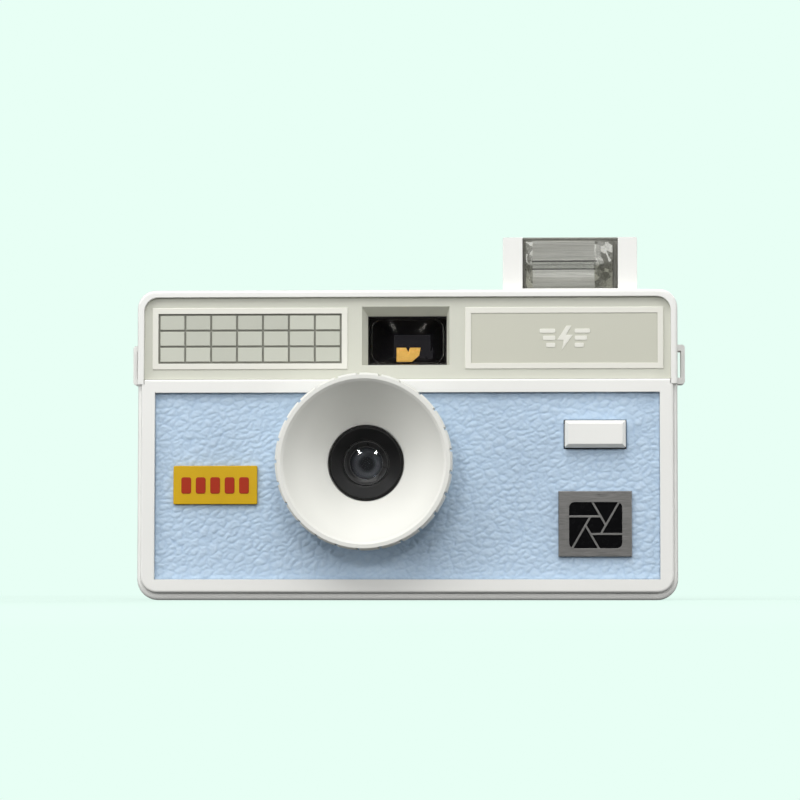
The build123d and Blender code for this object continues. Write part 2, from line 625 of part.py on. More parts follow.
def takeup_chamber():
    """The well for the take-up spool, with the bearings of spool and sprocket."""
    r, w = SPOOL_CHAMBER_R, CHAMBER_WALL
    ring = Pos(SPOOL_X, SPOOL_Y) * (Circle(r + w) - Circle(r))
    ring -= sharp(SPOOL_X, SPOOL_X + 20, SPOOL_Y - 4.0, SPOOL_Y + 20)
    ring -= sharp(SPOOL_X - 20, SPOOL_X + 20, SPOOL_Y + 4.0, SPOOL_Y + 20)
    well = plan_slab(ring, CHAMBER_FLOOR_Z, CHAMBER_TOP_Z)
    deck = rounded(SPOOL_X - r - w, -20.2, SPOOL_Y - r - w, 15.4, 3.0)
    floor = deck - sharp(BATTERY_DOOR_X[0] - 1.4, 0, -20, BATTERY_DOOR_Y[1] + 1.6)
    well += plan_slab(floor, CHAMBER_FLOOR_Z, CHAMBER_FLOOR_Z + FLOOR_T)
    well += plan_slab(deck, CHAMBER_TOP_Z - CEILING_T, CHAMBER_TOP_Z)
    well -= block(-60, 0, 15.6, 30, 0, 60)
    well -= upright(SPOOL_X, SPOOL_Y, 2.05, 0, 10) + upright(SPOOL_X, SPOOL_Y, 2.55, 50, 60)
    well -= upright(SPROCKET_X, SPROCKET_Y, 1.55, 0, 60)
    return well - upright(BUTTON_X, BUTTON_Y, 1.6, 50, 60)


def light_seals():
    """Foam strips on the door, as one group."""
    strips = [block(-50, 50, 17.6, 18.4, 2.4, 4.4), block(52.0, 54.0, 17.6, 18.4, 6, 50)]
    return Compound(children=strips)


def pressure_plate():
    """The plate that holds the film flat against the gate."""
    plate = front_slab(rounded(-19.0, 9.0, LENS_Z - 17.2, LENS_Z + 17.2, 2.0), 16.5, 17.2)
    return fillet(plate.faces().sort_by(Axis.Y)[0].outer_wire().edges(), 0.25)


def pressure_spring():
    """The bowed leaf behind the pressure plate."""
    bow = ThreePointArc((-14.0, 18.3), (-5.0, 17.35), (4.0, 18.3))
    back = ThreePointArc((4.0, 18.38), (-5.0, 17.55), (-14.0, 18.38))
    ends = [Line((4.0, 18.3), (4.0, 18.38)), Line((-14.0, 18.38), (-14.0, 18.3))]
    outline = make_face(Wire([*bow.edges(), *ends[0].edges(), *back.edges(), *ends[1].edges()]))
    return plan_slab(outline, LENS_Z - 4, LENS_Z + 4)


# ---------------------------------------------------------------- film transport
def takeup_spool():
    """The take-up spool: slotted core, lower flange and the journals it turns on."""
    spool = upright(SPOOL_X, SPOOL_Y, SPOOL_CORE_R, 8.0, 51.4)
    spool += upright(SPOOL_X, SPOOL_Y, 9.6, 8.0, 9.2) + upright(SPOOL_X, SPOOL_Y, 8.4, 50.4, 51.4)
    for turn in range(3):
        slot = block(-1.0, 1.0, 2.0, 8.0, 14, 46)
        spool -= Pos(SPOOL_X, SPOOL_Y, 0) * Rot(0, 0, 120 * turn) * slot
    spool += upright(SPOOL_X, SPOOL_Y, 2.0, 6.3, 8.5)
    return spool + upright(SPOOL_X, SPOOL_Y, 2.5, 51, 59.5)


def advance_wheel():
    """The thumb wheel: knurled rim, thin web and the ratchet ring on its top."""
    wheel = plan_slab(toothed_disc(WHEEL_R, WHEEL_R - 0.55, WHEEL_TEETH), *WHEEL_Z)
    wheel -= upright(0, 0, 11.5, 58.4, 61)
    wheel += upright(0, 0, 4.6, 57, 60.2)
    ratchet = [(r * cos(a), r * sin(a)) for i in range(12)
               for a, r in ((radians(30 * i), 7.0), (radians(30 * i + 28), 5.8))]
    wheel += plan_slab(make_face(Polyline(*ratchet, close=True)), 58.0, 61.0)
    wheel -= upright(0, 0, 2.52, 50, 62)
    return Pos(SPOOL_X, SPOOL_Y, 0) * wheel


def wheel_pawl():
    """The springy finger that stops the wheel from turning back."""
    base = block(-33.4, -30.6, 14.6, 17.8, 60.3, 65.9)
    start, tip = (-32.0, 15.6), (-36.75, 10.75)
    dx, dy = tip[0] - start[0], tip[1] - start[1]
    leaf = Rot(0, 0, degrees(atan2(dy, dx))) * Box(hypot(dx, dy), 0.45, 0.7)
    return base + Pos((start[0] + tip[0]) / 2, (start[1] + tip[1]) / 2, 60.6) * leaf


def sprocket():
    """The film sprocket: two toothed wheels on a shaft, with the counter's finger at its top."""
    part = upright(SPROCKET_X, SPROCKET_Y, 1.5, 5.0, 62.6)
    part += upright(SPROCKET_X, SPROCKET_Y, 3.6, 10, 49.5)
    for row in (-1, 1):
        z = LENS_Z + row * PERFORATION_ROW
        part += upright(SPROCKET_X, SPROCKET_Y, SPROCKET_R, z - 1.8, z + 1.8)
        for dx, dy in ring_points(1.0, SPROCKET_TEETH):
            turn = Rot(0, 0, degrees(atan2(dy, dx)))
            tooth = turn * Pos(SPROCKET_R, 0, 0) * Cone(0.85, 0.35, 1.6, rotation=(0, 90, 0))
            part += Pos(SPROCKET_X, SPROCKET_Y, z) * tooth
    finger = Pos(SPROCKET_X, SPROCKET_Y, 0) * plan_slab(SlotOverall(4.0, 1.2), 62.4, 63.3)
    return part + upright(SPROCKET_X, SPROCKET_Y, 1.0, 62, 63.3) + finger


def counter_dial():
    """The frame counter's disc, toothed on its rim and free on its post."""
    dial = plan_slab(toothed_disc(DIAL_R, DIAL_R - 0.35, DIAL_TEETH), *DIAL_Z)
    dial += upright(0, 0, 1.8, 62.0, 64.2)
    return Pos(DIAL_X, DIAL_Y, 0) * (dial - upright(0, 0, 1.0, 60, 66))


def counter_window():
    """The clear stepped disc over the counter's dial."""
    lens = upright(DIAL_X, COUNTER_WINDOW_Y, 3.2, 66.75, 67.5)
    return lens + upright(DIAL_X, COUNTER_WINDOW_Y, 2.6, 66.2, 67)


# ---------------------------------------------------------------- rewind
CRANK_HINGE_DX = -7.0
CRANK_HINGE_Z = 1.5
CRANK_REACH = 14.0


def rewind_bush():
    """The collar that slides in the cup and lets the spindle turn."""
    bush = upright(CASSETTE_X, CASSETTE_Y, 3.3, 4.35, 6.0)
    return bush - upright(CASSETTE_X, CASSETTE_Y, 2.45, 4, 7)


def rewind_hub():
    """The rewind disc, its spindle and fork, and the ears that carry the crank."""
    disc = upright(0, 0, 10.0, 2.8, 4.2)
    disc = fillet(disc.edges().sort_by(Axis.Z)[0], 0.4)
    for y0, y1 in ((-3.6, -2.3), (2.3, 3.6)):
        ear = block(CRANK_HINGE_DX - 1.2, CRANK_HINGE_DX + 1.2, y0, y1, 1.2, 3.0)
        ear += facing(CRANK_HINGE_DX, CRANK_HINGE_Z, 1.2, y0, y1)
        disc += ear
    disc += facing(CRANK_HINGE_DX, CRANK_HINGE_Z, 0.55, -3, 3)
    disc -= upright(CRANK_HINGE_DX + CRANK_REACH, 0, 2.5, 2, 5)
    disc += upright(0, 0, 2.4, 4, 9.6)
    disc += block(-3.3, 3.3, -0.75, 0.75, 8.5, 11.4) - block(-1.2, 1.2, -1, 1, 9.8, 12)
    return Pos(CASSETTE_X, CASSETTE_Y, 0) * disc


def rewind_crank():
    """The folding arm, with the fixed pin for its knob."""
    x0 = CRANK_HINGE_DX
    x1 = CRANK_HINGE_DX + CRANK_REACH
    arm = block(x0, x1, -1.9, 1.9, 0.7, 2.3) + upright(x1, 0, 1.9, 0.7, 2.3)
    arm += facing(x0, CRANK_HINGE_Z, 0.8 + 0.2, -1.9, 1.9)
    arm -= block(x0 + 3, x1 - 3, -0.9, 0.9, 0, 1.2)
    arm += upright(x1, 0, 0.7, 2.0, 4.2) + upright(x1, 0, 1.1, 4.1, 4.3)
    arm -= facing(x0, CRANK_HINGE_Z, 0.6, -3, 3)
    return Pos(CASSETTE_X, CASSETTE_Y, 0) * arm


def crank_knob():
    """The small roller on the crank's end."""
    knob = plan_slab(toothed_disc(2.1, 1.9, 16), 2.4, 4.0) - upright(0, 0, 0.76, 2, 5)
    return Pos(CASSETTE_X + CRANK_HINGE_DX + CRANK_REACH, CASSETTE_Y, 0) * knob


def rewind_release():
    """The button in the bottom that frees the sprocket for rewinding."""
    button = upright(SPROCKET_X, SPROCKET_Y, 2.1, 0.4, 2.4)
    button += upright(SPROCKET_X, SPROCKET_Y, 2.9, 1.7, 2.4)
    return button + upright(SPROCKET_X, SPROCKET_Y, 1.2, 2.3, 3.2)


# ---------------------------------------------------------------- viewfinder
def finder_tunnel():
    """The blackened tube between the finder's two lenses."""
    x0, x1, z0, z1 = FINDER_LENS
    front, rear = (x0 - 0.8, x1 + 0.8, z0 - 0.7, z1 + 0.7), (-5.4, 5.4, 54.1, 61.2)
    bore = (x0 + 0.1, x1 - 0.1, z0 + 0.1, z1 - 0.1)
    tube = funnel(front, -7.55, rear, 18.0) - funnel(bore, -7.6, EYEPIECE, 18.1)
    return tube - block(x0 - 0.1, x1 + 0.1, -8, -6.4, z0 - 0.1, z1 + 0.1)


def finder_front_lens():
    """The finder's front lens, flat outside and hollowed inside."""
    x0, x1, z0, z1 = FINDER_LENS
    hollow_r = 40.0
    return block(x0, x1, -7.5, -6.5, z0, z1) - Pos(0, -6.9 + hollow_r, (z0 + z1) / 2) * Sphere(hollow_r)


def finder_eyepiece():
    """The eyepiece, set in the top cover's rear wall."""
    x0, x1, z0, z1 = EYEPIECE
    lens = block(x0 - 0.7, x1 + 0.7, 18.1, 19.4, z0 - 0.7, z1 + 0.7)
    return fillet(lens.faces().sort_by(Axis.Y)[-1].edges(), 0.3)


def ready_lamp():
    """The flash-ready light beside the eyepiece."""
    lamp = facing(16.0, 57.5, 1.6, 18.0, 20.1)
    return fillet(lamp.edges().sort_by(Axis.Y)[-1], 0.6) + facing(16.0, 57.5, 2.2, 17.4, 18.4)


# ---------------------------------------------------------------- flash
REFLECTOR_FRONT = (25.5, 45.7, 68.3, 79.0)  # x0, x1, z0, z1 of its mouth
REFLECTOR_BACK = (27.4, 41.4, 72.2, 75.2)  # of its floor
REFLECTOR_DEPTH = (-7.2, -1.6)
XENON_Z = 73.6
XENON_Y = -3.6


def flash_housing():
    """The pop-up head: cheeks, top, back and the stem that guides it."""
    (x0, x1), (y0, y1) = FLASH_X, FLASH_Y
    head = block(x0, x1, y0, y1, FLASH_BOTTOM_Z, FLASH_TOP_Z)
    head = fillet(head.edges().filter_by(Axis.Y).sort_by(Axis.Z)[-2:], 0.35)
    head -= block(*FLASH_WINDOW_X, y0 - 1, -0.6, FLASH_BOTTOM_Z + 1.2, FLASH_TOP_Z - 0.45)
    head -= block(*FLASH_WINDOW_X, y0 - 1, y0 + 0.95, FLASH_BOTTOM_Z + 1.2, FLASH_TOP_Z + 1)
    head += upright(GUIDE_X, GUIDE_Y, 2.0, 50.8, FLASH_BOTTOM_Z + 0.5)
    return head + block(30.5, 32.5, -7.3, -6.5, 65.0, FLASH_BOTTOM_Z + 0.5)


def flash_reflector():
    """The bright pan behind the flash tube."""
    skin = 0.25
    front_y, back_y = REFLECTOR_DEPTH
    x0, x1, z0, z1 = REFLECTOR_FRONT
    bx0, bx1, bz0, bz1 = REFLECTOR_BACK
    pan = funnel((x0 - skin, x1 + skin, z0 - skin, z1 - 0.3), front_y,
                 (bx0 - skin, bx1 + skin, bz0 - skin, bz1 + skin), back_y + skin)
    pan -= funnel((x0, x1, z0, z1 - 0.5), front_y - 0.01, REFLECTOR_BACK, back_y)
    flange = block(x0 - skin, x1 + skin, front_y, front_y + 0.3, z0 - skin, z1 - 0.3)
    pan += flange - funnel((x0, x1, z0, z1 - 0.5), front_y - 0.01, REFLECTOR_BACK, back_y)
    return pan - across(XENON_Y, XENON_Z, 1.35, 24, 48)


def flash_tube():
    """The xenon tube, with its metal end caps."""
    tube = across(XENON_Y, XENON_Z, 1.1, 26.2, 44.8)
    return tube + across(XENON_Y, XENON_Z, 1.25, 25.4, 27.0) + across(XENON_Y, XENON_Z, 1.25, 43.4, 45.6)


def flash_window():
    """The clear front window, ribbed on its inside."""
    x0, x1 = FLASH_WINDOW_X
    y0 = FLASH_Y[0]
    window = block(x0 + 0.1, x1 - 0.1, y0 + 0.1, y0 + 0.6, FLASH_BOTTOM_Z + 1.3, FLASH_TOP_Z)
    ribs = 16
    pitch = (FLASH_TOP_Z - FLASH_BOTTOM_Z - 2.2) / ribs
    for i in range(ribs):
        z = FLASH_BOTTOM_Z + 1.8 + pitch * i
        window += block(x0 + 0.4, x1 - 0.4, y0 + 0.5, y0 + 0.75, z, z + pitch * 0.5)
    return window


def flash_button():
    """The front button: bevelled cap, and the hidden arm that reaches up to the flash."""
    (x0, x1), (z0, z1) = FLASH_BUTTON_X, FLASH_BUTTON_Z
    low, high = z0 + 0.6, z1 - 0.6
    cap = block(x0, x1, FLASH_BUTTON_FRONT_Y, -9.55, z0, z1)
    cap = chamfer(cap.faces().sort_by(Axis.Y)[0].edges(), 0.75)
    cap = fillet(cap.edges().filter_by(Axis.Y), 0.25)
    cap -= block(x0 + 2.2, x1 - 1.4, -11.4, -9, z0 + 1.0, z1 - 1.0)
    cap += block(x0, x0 + 1.9, -9.7, -7.5, low, high)
    cap += block(x1 - 1.0, x1, -9.7, -9.2, low, high)
    arm = block(28.0, x0 + 1.9, -8.1, -7.5, low, high) + block(28.0, 30.0, -8.1, -7.5, low, 54.4)
    return cap + arm + block(28.0, 30.0, -8.1, -7.0, 53.6, 54.4)


def circuit_board():
    """The flash's circuit board with its transformer and resistors."""
    board = block(6.0, 27.0, 6.0, 7.2, 14.5, 49.0)
    board += block(17.5, 25.5, 7.2, 13.4, 17.0, 26.0)
    for i in range(4):
        board += block(8.0 + 3.2 * i, 9.8 + 3.2 * i, 7.2, 8.4, 31.0, 35.0)
    return board + upright(19.0, 10.2, 2.6, 38.0, 46.0) + block(17, 21, 7.1, 8, 40, 44)


def flash_capacitor():
    """The flash's storage capacitor."""
    can = upright(10.4, 1.25, 4.2, 16.0, 43.0)
    return fillet(can.edges().filter_by(GeomType.CIRCLE), 0.6)


def battery_contacts():
    """The two contact plates of the battery compartment, as one group."""
    minus = block(-26.6, -26.2, -7.4, 1.4, 3.0, 12.4)
    minus += across(-3.0, 7.6, 2.6, -26.3, -25.6) + across(-3.0, 7.6, 1.8, -25.7, -24.9)
    plus = block(26.3, 26.7, -7.4, 1.4, 3.0, 12.4) + across(-3.0, 7.6, 1.6, 25.8, 26.4)
    return Compound(children=[minus, plus])


def battery_door():
    """The hinged cover of the battery compartment."""
    (x0, x1), (y0, y1) = BATTERY_DOOR_X, BATTERY_DOOR_Y
    door = block(x0, BATTERY_HINGE_X, y0, y1, 0.1, 1.5)
    door += facing(BATTERY_HINGE_X, BATTERY_HINGE_Z, 0.7, y0, y1)
    door += facing(BATTERY_HINGE_X, BATTERY_HINGE_Z, 0.4, y0 - 0.6, y1 + 0.6)
    for i in range(6):
        door -= block(x0 + 2.0 + 1.6 * i, x0 + 2.8 + 1.6 * i, y0 + 2.5, y1 - 2.5, 0, 0.5)
    return door


# ---------------------------------------------------------------- fasteners
def screw(x, z, head_y, tip_y, head_r, shank_r):
    """A cross-head screw along Y, head to the rear."""
    body = facing(x, z, head_r, head_y, head_y + 1.0) + facing(x, z, shank_r, tip_y, head_y + 0.2)
    cross = block(x - 1.0, x + 1.0, head_y + 0.4, head_y + 2, z - 0.2, z + 0.2)
    cross += block(x - 0.2, x + 0.2, head_y + 0.4, head_y + 2, z - 1.0, z + 1.0)
    return body - cross


def case_screws():
    """The hood's three screws and the chassis's four, as one group."""
    hood = [screw(x, z, WALL_BACK_Y, -11.0, 1.6, 0.75) for x, z in HOOD_SCREWS]
    chassis = [screw(x, z, -3.4, -7.6, 1.8, 0.95) for x, z in SCREW_POSTS]
    return Compound(children=hood + chassis)


# ---------------------------------------------------------------- output
PARTS = {
    "front_cover": front_cover(),
    "top_cover": top_cover(),
    "strap_lug_left": strap_lug(-1),
    "strap_lug_right": strap_lug(1),
    "back_door": back_door(),
    "door_hinge_pin": door_hinge_pin(),
    "door_latch": door_latch(),
    "fascia_panel": fascia_panel(),
    "cell_backing": cell_backing(),
    "cell_tiles": cell_tiles(),
    "title_plate": title_plate(),
    "panel_frames": panel_frames(),
    "leatherette": leatherette(),
    "badge_left": badge_left(),
    "badge_right": badge_right(),
    "badge_inset": badge_inset(),
    "lens_hood": lens_hood(),
    "lens_barrel": lens_barrel(),
    "lens_retainer": lens_retainer(),
    "front_element": lens_element(4.5, -10.75, 0.5, -8.85),
    "rear_element": lens_element(4.6, -8.15, 0.35, -7.4),
    "aperture_stop": aperture_stop(),
    "shutter_plate": shutter_plate(),
    "shutter_blade": shutter_blade(),
    "blade_spring": blade_spring(),
    "release_lever": release_lever(),
    "shutter_button": shutter_button(),
    "button_spring": coil(BUTTON_X, BUTTON_Y, 1.95, 0.2, 53.05, 64.95, 8),
    "film_chassis": film_chassis(),
    "cassette_chamber": cassette_chamber(),
    "takeup_chamber": takeup_chamber(),
    "light_seals": light_seals(),
    "pressure_plate": pressure_plate(),
    "pressure_spring": pressure_spring(),
    "takeup_spool": takeup_spool(),
    "advance_wheel": advance_wheel(),
    "wheel_pawl": wheel_pawl(),
    "sprocket": sprocket(),
    "counter_dial": counter_dial(),
    "counter_window": counter_window(),
    "rewind_bush": rewind_bush(),
    "rewind_hub": rewind_hub(),
    "rewind_crank": rewind_crank(),
    "crank_knob": crank_knob(),
    "rewind_release": rewind_release(),
    "finder_tunnel": finder_tunnel(),
    "finder_front_lens": finder_front_lens(),
    "finder_eyepiece": finder_eyepiece(),
    "ready_lamp": ready_lamp(),
    "flash_housing": flash_housing(),
    "flash_reflector": flash_reflector(),
    "flash_tube": flash_tube(),
    "flash_window": flash_window(),
    "flash_spring": coil(GUIDE_X, GUIDE_Y, 1.65, 0.22, GUIDE_FLOOR_Z + 0.05, 50.75, 11),
    "flash_button": flash_button(),
    "circuit_board": circuit_board(),
    "flash_capacitor": flash_capacitor(),
    "battery_contacts": battery_contacts(),
    "battery_door": battery_door(),
    "case_screws": case_screws(),
}

os.makedirs("parts", exist_ok=True)
for name, shape in PARTS.items():
    export_step(shape, f"parts/{name}.step")
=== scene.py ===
import math

import bmesh
import bpy
import numpy as np
from mathutils import Matrix, Quaternion, Vector


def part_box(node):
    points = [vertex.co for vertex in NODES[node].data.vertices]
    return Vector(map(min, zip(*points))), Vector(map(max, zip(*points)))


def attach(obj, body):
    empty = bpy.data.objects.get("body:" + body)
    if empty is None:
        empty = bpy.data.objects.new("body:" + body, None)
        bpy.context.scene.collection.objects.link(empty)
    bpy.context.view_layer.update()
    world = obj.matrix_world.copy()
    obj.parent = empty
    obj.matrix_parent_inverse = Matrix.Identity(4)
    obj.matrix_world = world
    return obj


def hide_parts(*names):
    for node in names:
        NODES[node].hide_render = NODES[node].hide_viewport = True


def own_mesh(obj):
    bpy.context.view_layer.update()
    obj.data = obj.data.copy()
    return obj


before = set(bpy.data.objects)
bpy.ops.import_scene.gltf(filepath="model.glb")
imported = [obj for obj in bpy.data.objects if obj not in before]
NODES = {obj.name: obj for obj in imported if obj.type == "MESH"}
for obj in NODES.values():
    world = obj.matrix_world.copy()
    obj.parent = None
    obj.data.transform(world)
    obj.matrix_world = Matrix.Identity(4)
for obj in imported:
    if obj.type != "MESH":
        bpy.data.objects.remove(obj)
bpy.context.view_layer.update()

MM = 0.001
OCCLUSION_SAMPLES = 6
BEVEL_SAMPLES = 5


# ---------------------------------------------------------------- shader building
class Look:
    """One procedural material, built on a Principled shader in millimetre coordinates."""

    def __init__(self, name):
        self.mat = bpy.data.materials.new(name)
        self.mat.use_nodes = True
        self.tree = self.mat.node_tree
        self.tree.nodes.clear()
        self.out = self.tree.nodes.new("ShaderNodeOutputMaterial")
        self.bsdf = self.tree.nodes.new("ShaderNodeBsdfPrincipled")
        self.tree.links.new(self.bsdf.outputs[0], self.out.inputs["Surface"])
        coord = self.tree.nodes.new("ShaderNodeTexCoord").outputs["Object"]
        self.mm = self.vector("SCALE", coord, scale=1000.0)

    def put(self, socket, value):
        if isinstance(value, bpy.types.NodeSocket):
            self.tree.links.new(value, socket)
        elif value is not None:
            socket.default_value = value

    def vector(self, operation, a, b=None, scale=None):
        node = self.tree.nodes.new("ShaderNodeVectorMath")
        node.operation = operation
        self.put(node.inputs[0], a)
        if b is not None:
            self.put(node.inputs[1], b)
        if scale is not None:
            node.inputs["Scale"].default_value = scale
        return node.outputs["Value" if operation in ("DOT_PRODUCT", "LENGTH") else "Vector"]

    def math(self, operation, a, b=0.0, clamp=False):
        node = self.tree.nodes.new("ShaderNodeMath")
        node.operation = operation
        node.use_clamp = clamp
        self.put(node.inputs[0], a)
        self.put(node.inputs[1], b)
        return node.outputs[0]

    def axis(self, name, source=None):
        node = self.tree.nodes.new("ShaderNodeSeparateXYZ")
        self.put(node.inputs[0], self.mm if source is None else source)
        return node.outputs[name]

    def noise(self, size, detail=2.0, stretch=(1, 1, 1), roughness=0.5, distortion=0.0):
        """Noise from 0 to 1 whose features are about size millimetres across."""
        node = self.tree.nodes.new("ShaderNodeTexNoise")
        scaled = self.vector("MULTIPLY", self.mm, tuple(1.0 / (size * s) for s in stretch))
        self.put(node.inputs["Vector"], scaled)
        node.inputs["Scale"].default_value = 1.0
        node.inputs["Detail"].default_value = detail
        node.inputs["Roughness"].default_value = roughness
        node.inputs["Distortion"].default_value = distortion
        return node.outputs["Fac"]

    def span(self, value, low, high, to_low=0.0, to_high=1.0):
        """The value's share of the way from low to high, as to_low to to_high."""
        node = self.tree.nodes.new("ShaderNodeMapRange")
        self.put(node.inputs["Value"], value)
        ends = {"From Min": low, "From Max": high, "To Min": to_low, "To Max": to_high}
        for name, number in ends.items():
            node.inputs[name].default_value = number
        return node.outputs["Result"]

    def mix(self, a, b, factor):
        node = self.tree.nodes.new("ShaderNodeMix")
        node.data_type = "RGBA"
        self.put(node.inputs[0], factor)
        self.put(node.inputs[6], self.solid(a))
        self.put(node.inputs[7], self.solid(b))
        return node.outputs[2]

    def solid(self, colour):
        if isinstance(colour, (tuple, list)) and len(colour) == 3:
            return (*colour, 1.0)
        return colour

    def grey(self, value):
        node = self.tree.nodes.new("ShaderNodeCombineColor")
        for i in range(3):
            self.put(node.inputs[i], value)
        return node.outputs[0]

    def occlusion(self, distance):
        """1 on open faces, falling towards 0 in corners closer than distance millimetres."""
        node = self.tree.nodes.new("ShaderNodeAmbientOcclusion")
        node.samples = OCCLUSION_SAMPLES
        node.inputs["Distance"].default_value = distance * MM
        return node.outputs["AO"]

    def bevel(self, radius):
        """The surface's direction, with its edges rounded to radius millimetres."""
        node = self.tree.nodes.new("ShaderNodeBevel")
        node.samples = BEVEL_SAMPLES
        node.inputs["Radius"].default_value = radius * MM
        return node.outputs["Normal"]

    def edges(self, radius=0.5):
        """1 along outside and inside edges, 0 on open faces."""
        normal = self.tree.nodes.new("ShaderNodeNewGeometry").outputs["Normal"]
        facing = self.vector("DOT_PRODUCT", self.bevel(radius), normal)
        return self.span(facing, 0.995, 0.9)

    def bump(self, height, depth, normal=None):
        """Relief that is depth millimetres deep where height goes from 0 to 1."""
        node = self.tree.nodes.new("ShaderNodeBump")
        node.inputs["Strength"].default_value = 1.0
        node.inputs["Distance"].default_value = depth * MM
        self.put(node.inputs["Height"], height)
        if normal is not None:
            self.put(node.inputs["Normal"], normal)
        return node.outputs["Normal"]

    def set(self, **sockets):
        for name, value in sockets.items():
            self.put(self.bsdf.inputs[name.replace("_", " ")], self.solid(value))
        return self


def srgb(red, green, blue):
    """A display colour, 0 to 255 a channel, as linear values."""
    def linear(c):
        c /= 255.0
        return c / 12.92 if c <= 0.04045 else ((c + 0.055) / 1.055) ** 2.4

    return tuple(linear(c) for c in (red, green, blue))


def tint(colour, factor):
    return tuple(min(1.0, c * factor) for c in colour)


# ---------------------------------------------------------------- materials
def moulded(name, colour, rough=0.36, grain=0.5, grain_depth=0.004, edge_highlight=0.12, corner_dust_and_shade=0.12, edge=0.18):
    """Moulded plastic: slightly uneven colour, fine texture, rubbed edges with a painted highlight, dust and
    painted shade in the corners.
    """
    s = Look(name)
    broad = s.noise(24.0, detail=3.0)
    speck = s.noise(0.9, detail=4.0, roughness=0.7)
    base = s.mix(tint(colour, 0.965), tint(colour, 1.03), broad)
    base = s.mix(base, tint(colour, 0.9), s.math("MULTIPLY", s.span(speck, 0.62, 0.78), 0.12))
    # Edges: smoother where rubbed, and painted lighter as a painted highlight.
    rubbed_edge_highlight = s.math("MULTIPLY", s.edges(0.45), s.span(s.noise(3.0, detail=3.0), 0.35, 0.75))
    base = s.mix(base, tint(colour, 1.12), s.math("MULTIPLY", rubbed_edge_highlight, edge_highlight))
    # Corners and gaps darkened by occlusion: painted shade, mixed with a dusty colour.
    occlusion_shade = s.span(s.occlusion(1.8), 0.85, 0.15)
    dust_and_shade = s.math("MULTIPLY", occlusion_shade, corner_dust_and_shade)
    base = s.mix(base, (0.36 * colour[0], 0.34 * colour[1], 0.3 * colour[2]), dust_and_shade)
    uneven = s.span(speck, 0.3, 0.7, rough - 0.05, rough + 0.07)
    roughness = s.math("ADD", uneven, s.math("MULTIPLY", rubbed_edge_highlight, -0.06))
    fine = s.noise(grain, detail=3.0, roughness=0.6)
    normal = s.bump(fine, grain_depth, normal=s.bevel(edge))
    s.set(Base_Color=base, Roughness=roughness, Normal=normal)
    return s.mat


def leather():
    """Pale blue leatherette: the pebbles are geometry, and this adds their pores and tones, a painted
    highlight on their tops and painted shade in creases and hollows.
    """
    s = Look("leatherette_blue")
    blue = srgb(188, 211, 233)
    crease_shade_blue = srgb(158, 186, 218)
    light = srgb(208, 227, 244)
    height = s.tree.nodes.new("ShaderNodeAttribute")
    height.attribute_name = "grain"
    top = height.outputs["Fac"]
    patch = s.noise(9.0, detail=3.0)
    # Pebble tops painted lighter as a painted highlight; creases painted a deeper blue as painted shade.
    base = s.mix(blue, light, s.math("MULTIPLY", s.span(top, 0.55, 1.0), 0.5))
    base = s.mix(base, crease_shade_blue, s.math("MULTIPLY", s.span(top, 0.5, 0.0), 0.6))
    base = s.mix(base, tint(blue, 0.93), s.math("MULTIPLY", s.span(patch, 0.45, 0.75), 0.5))
    # Hollows darkened by occlusion: painted shade.
    occlusion_shade = s.span(s.occlusion(1.4), 0.85, 0.2)
    base = s.mix(base, srgb(96, 118, 152), s.math("MULTIPLY", occlusion_shade, 0.35))
    pores = s.noise(0.32, detail=4.0, roughness=0.65)
    pits = s.noise(0.75, detail=2.0)
    relief = s.math("ADD", s.math("MULTIPLY", pores, 0.6), s.math("MULTIPLY", pits, 0.5))
    roughness = s.span(top, 0.0, 1.0, 0.62, 0.44)
    s.set(Base_Color=base, Roughness=roughness, Normal=s.bump(relief, 0.035))
    return s.mat


def cells(name, box, columns, rows, gap):
    """Satin cells, each of a slightly different tone."""
    s = Look(name)
    colour = srgb(197, 199, 186)
    x0, x1, z0, z1 = box
    number = []
    for axis, low, high, count in (("X", x0, x1, columns), ("Z", z0, z1, rows)):
        share = s.span(s.axis(axis), low + gap / 2, high - gap / 2, 0.0, count)
        number.append(s.math("FLOOR", share))
    code = s.math("ADD", number[0], s.math("MULTIPLY", number[1], 17.0))
    white = s.tree.nodes.new("ShaderNodeTexWhiteNoise")
    white.noise_dimensions = "1D"
    s.put(white.inputs["W"], s.math("ADD", code, 3.3))
    tone = white.outputs["Value"]
    base = s.mix(tint(colour, 0.9), tint(colour, 1.06), tone)
    drift = s.noise(2.6, detail=2.0)
    base = s.mix(base, tint(colour, 1.1), s.math("MULTIPLY", drift, 0.3))
    normal = s.bump(s.noise(1.1, detail=2.0), 0.01, normal=s.bevel(0.08))
    s.set(Base_Color=base, Roughness=s.span(drift, 0.3, 0.7, 0.3, 0.42), Normal=normal)
    return s.mat


def brushed(name, colour, rough):
    """Brushed metal, with its strokes along X."""
    s = Look(name)
    along = (30, 1, 1)
    strokes = s.noise(0.09, detail=4.0, stretch=along, roughness=0.65)
    wide = s.noise(0.8, detail=2.0, stretch=along)
    base = s.mix(tint(colour, 0.62), tint(colour, 1.15), s.span(strokes, 0.32, 0.68))
    base = s.mix(base, tint(colour, 0.8), s.math("MULTIPLY", wide, 0.35))
    roughness = s.span(strokes, 0.3, 0.7, rough - 0.07, rough + 0.12)
    normal = s.bump(strokes, 0.004, normal=s.bevel(0.1))
    s.set(Base_Color=base, Metallic=0.8, Roughness=roughness, Normal=normal)
    return s.mat


def plated(name, colour):
    """Plain plated or turned metal, slightly uneven."""
    s = Look(name)
    cloud = s.noise(2.5, detail=4.0)
    base = s.mix(tint(colour, 0.85), tint(colour, 1.1), cloud)
    s.set(Base_Color=base, Metallic=1.0, Roughness=s.span(cloud, 0.3, 0.7, 0.19, 0.35),
          Normal=s.bump(s.noise(0.4, detail=3.0), 0.004, normal=s.bevel(0.1)))
    return s.mat


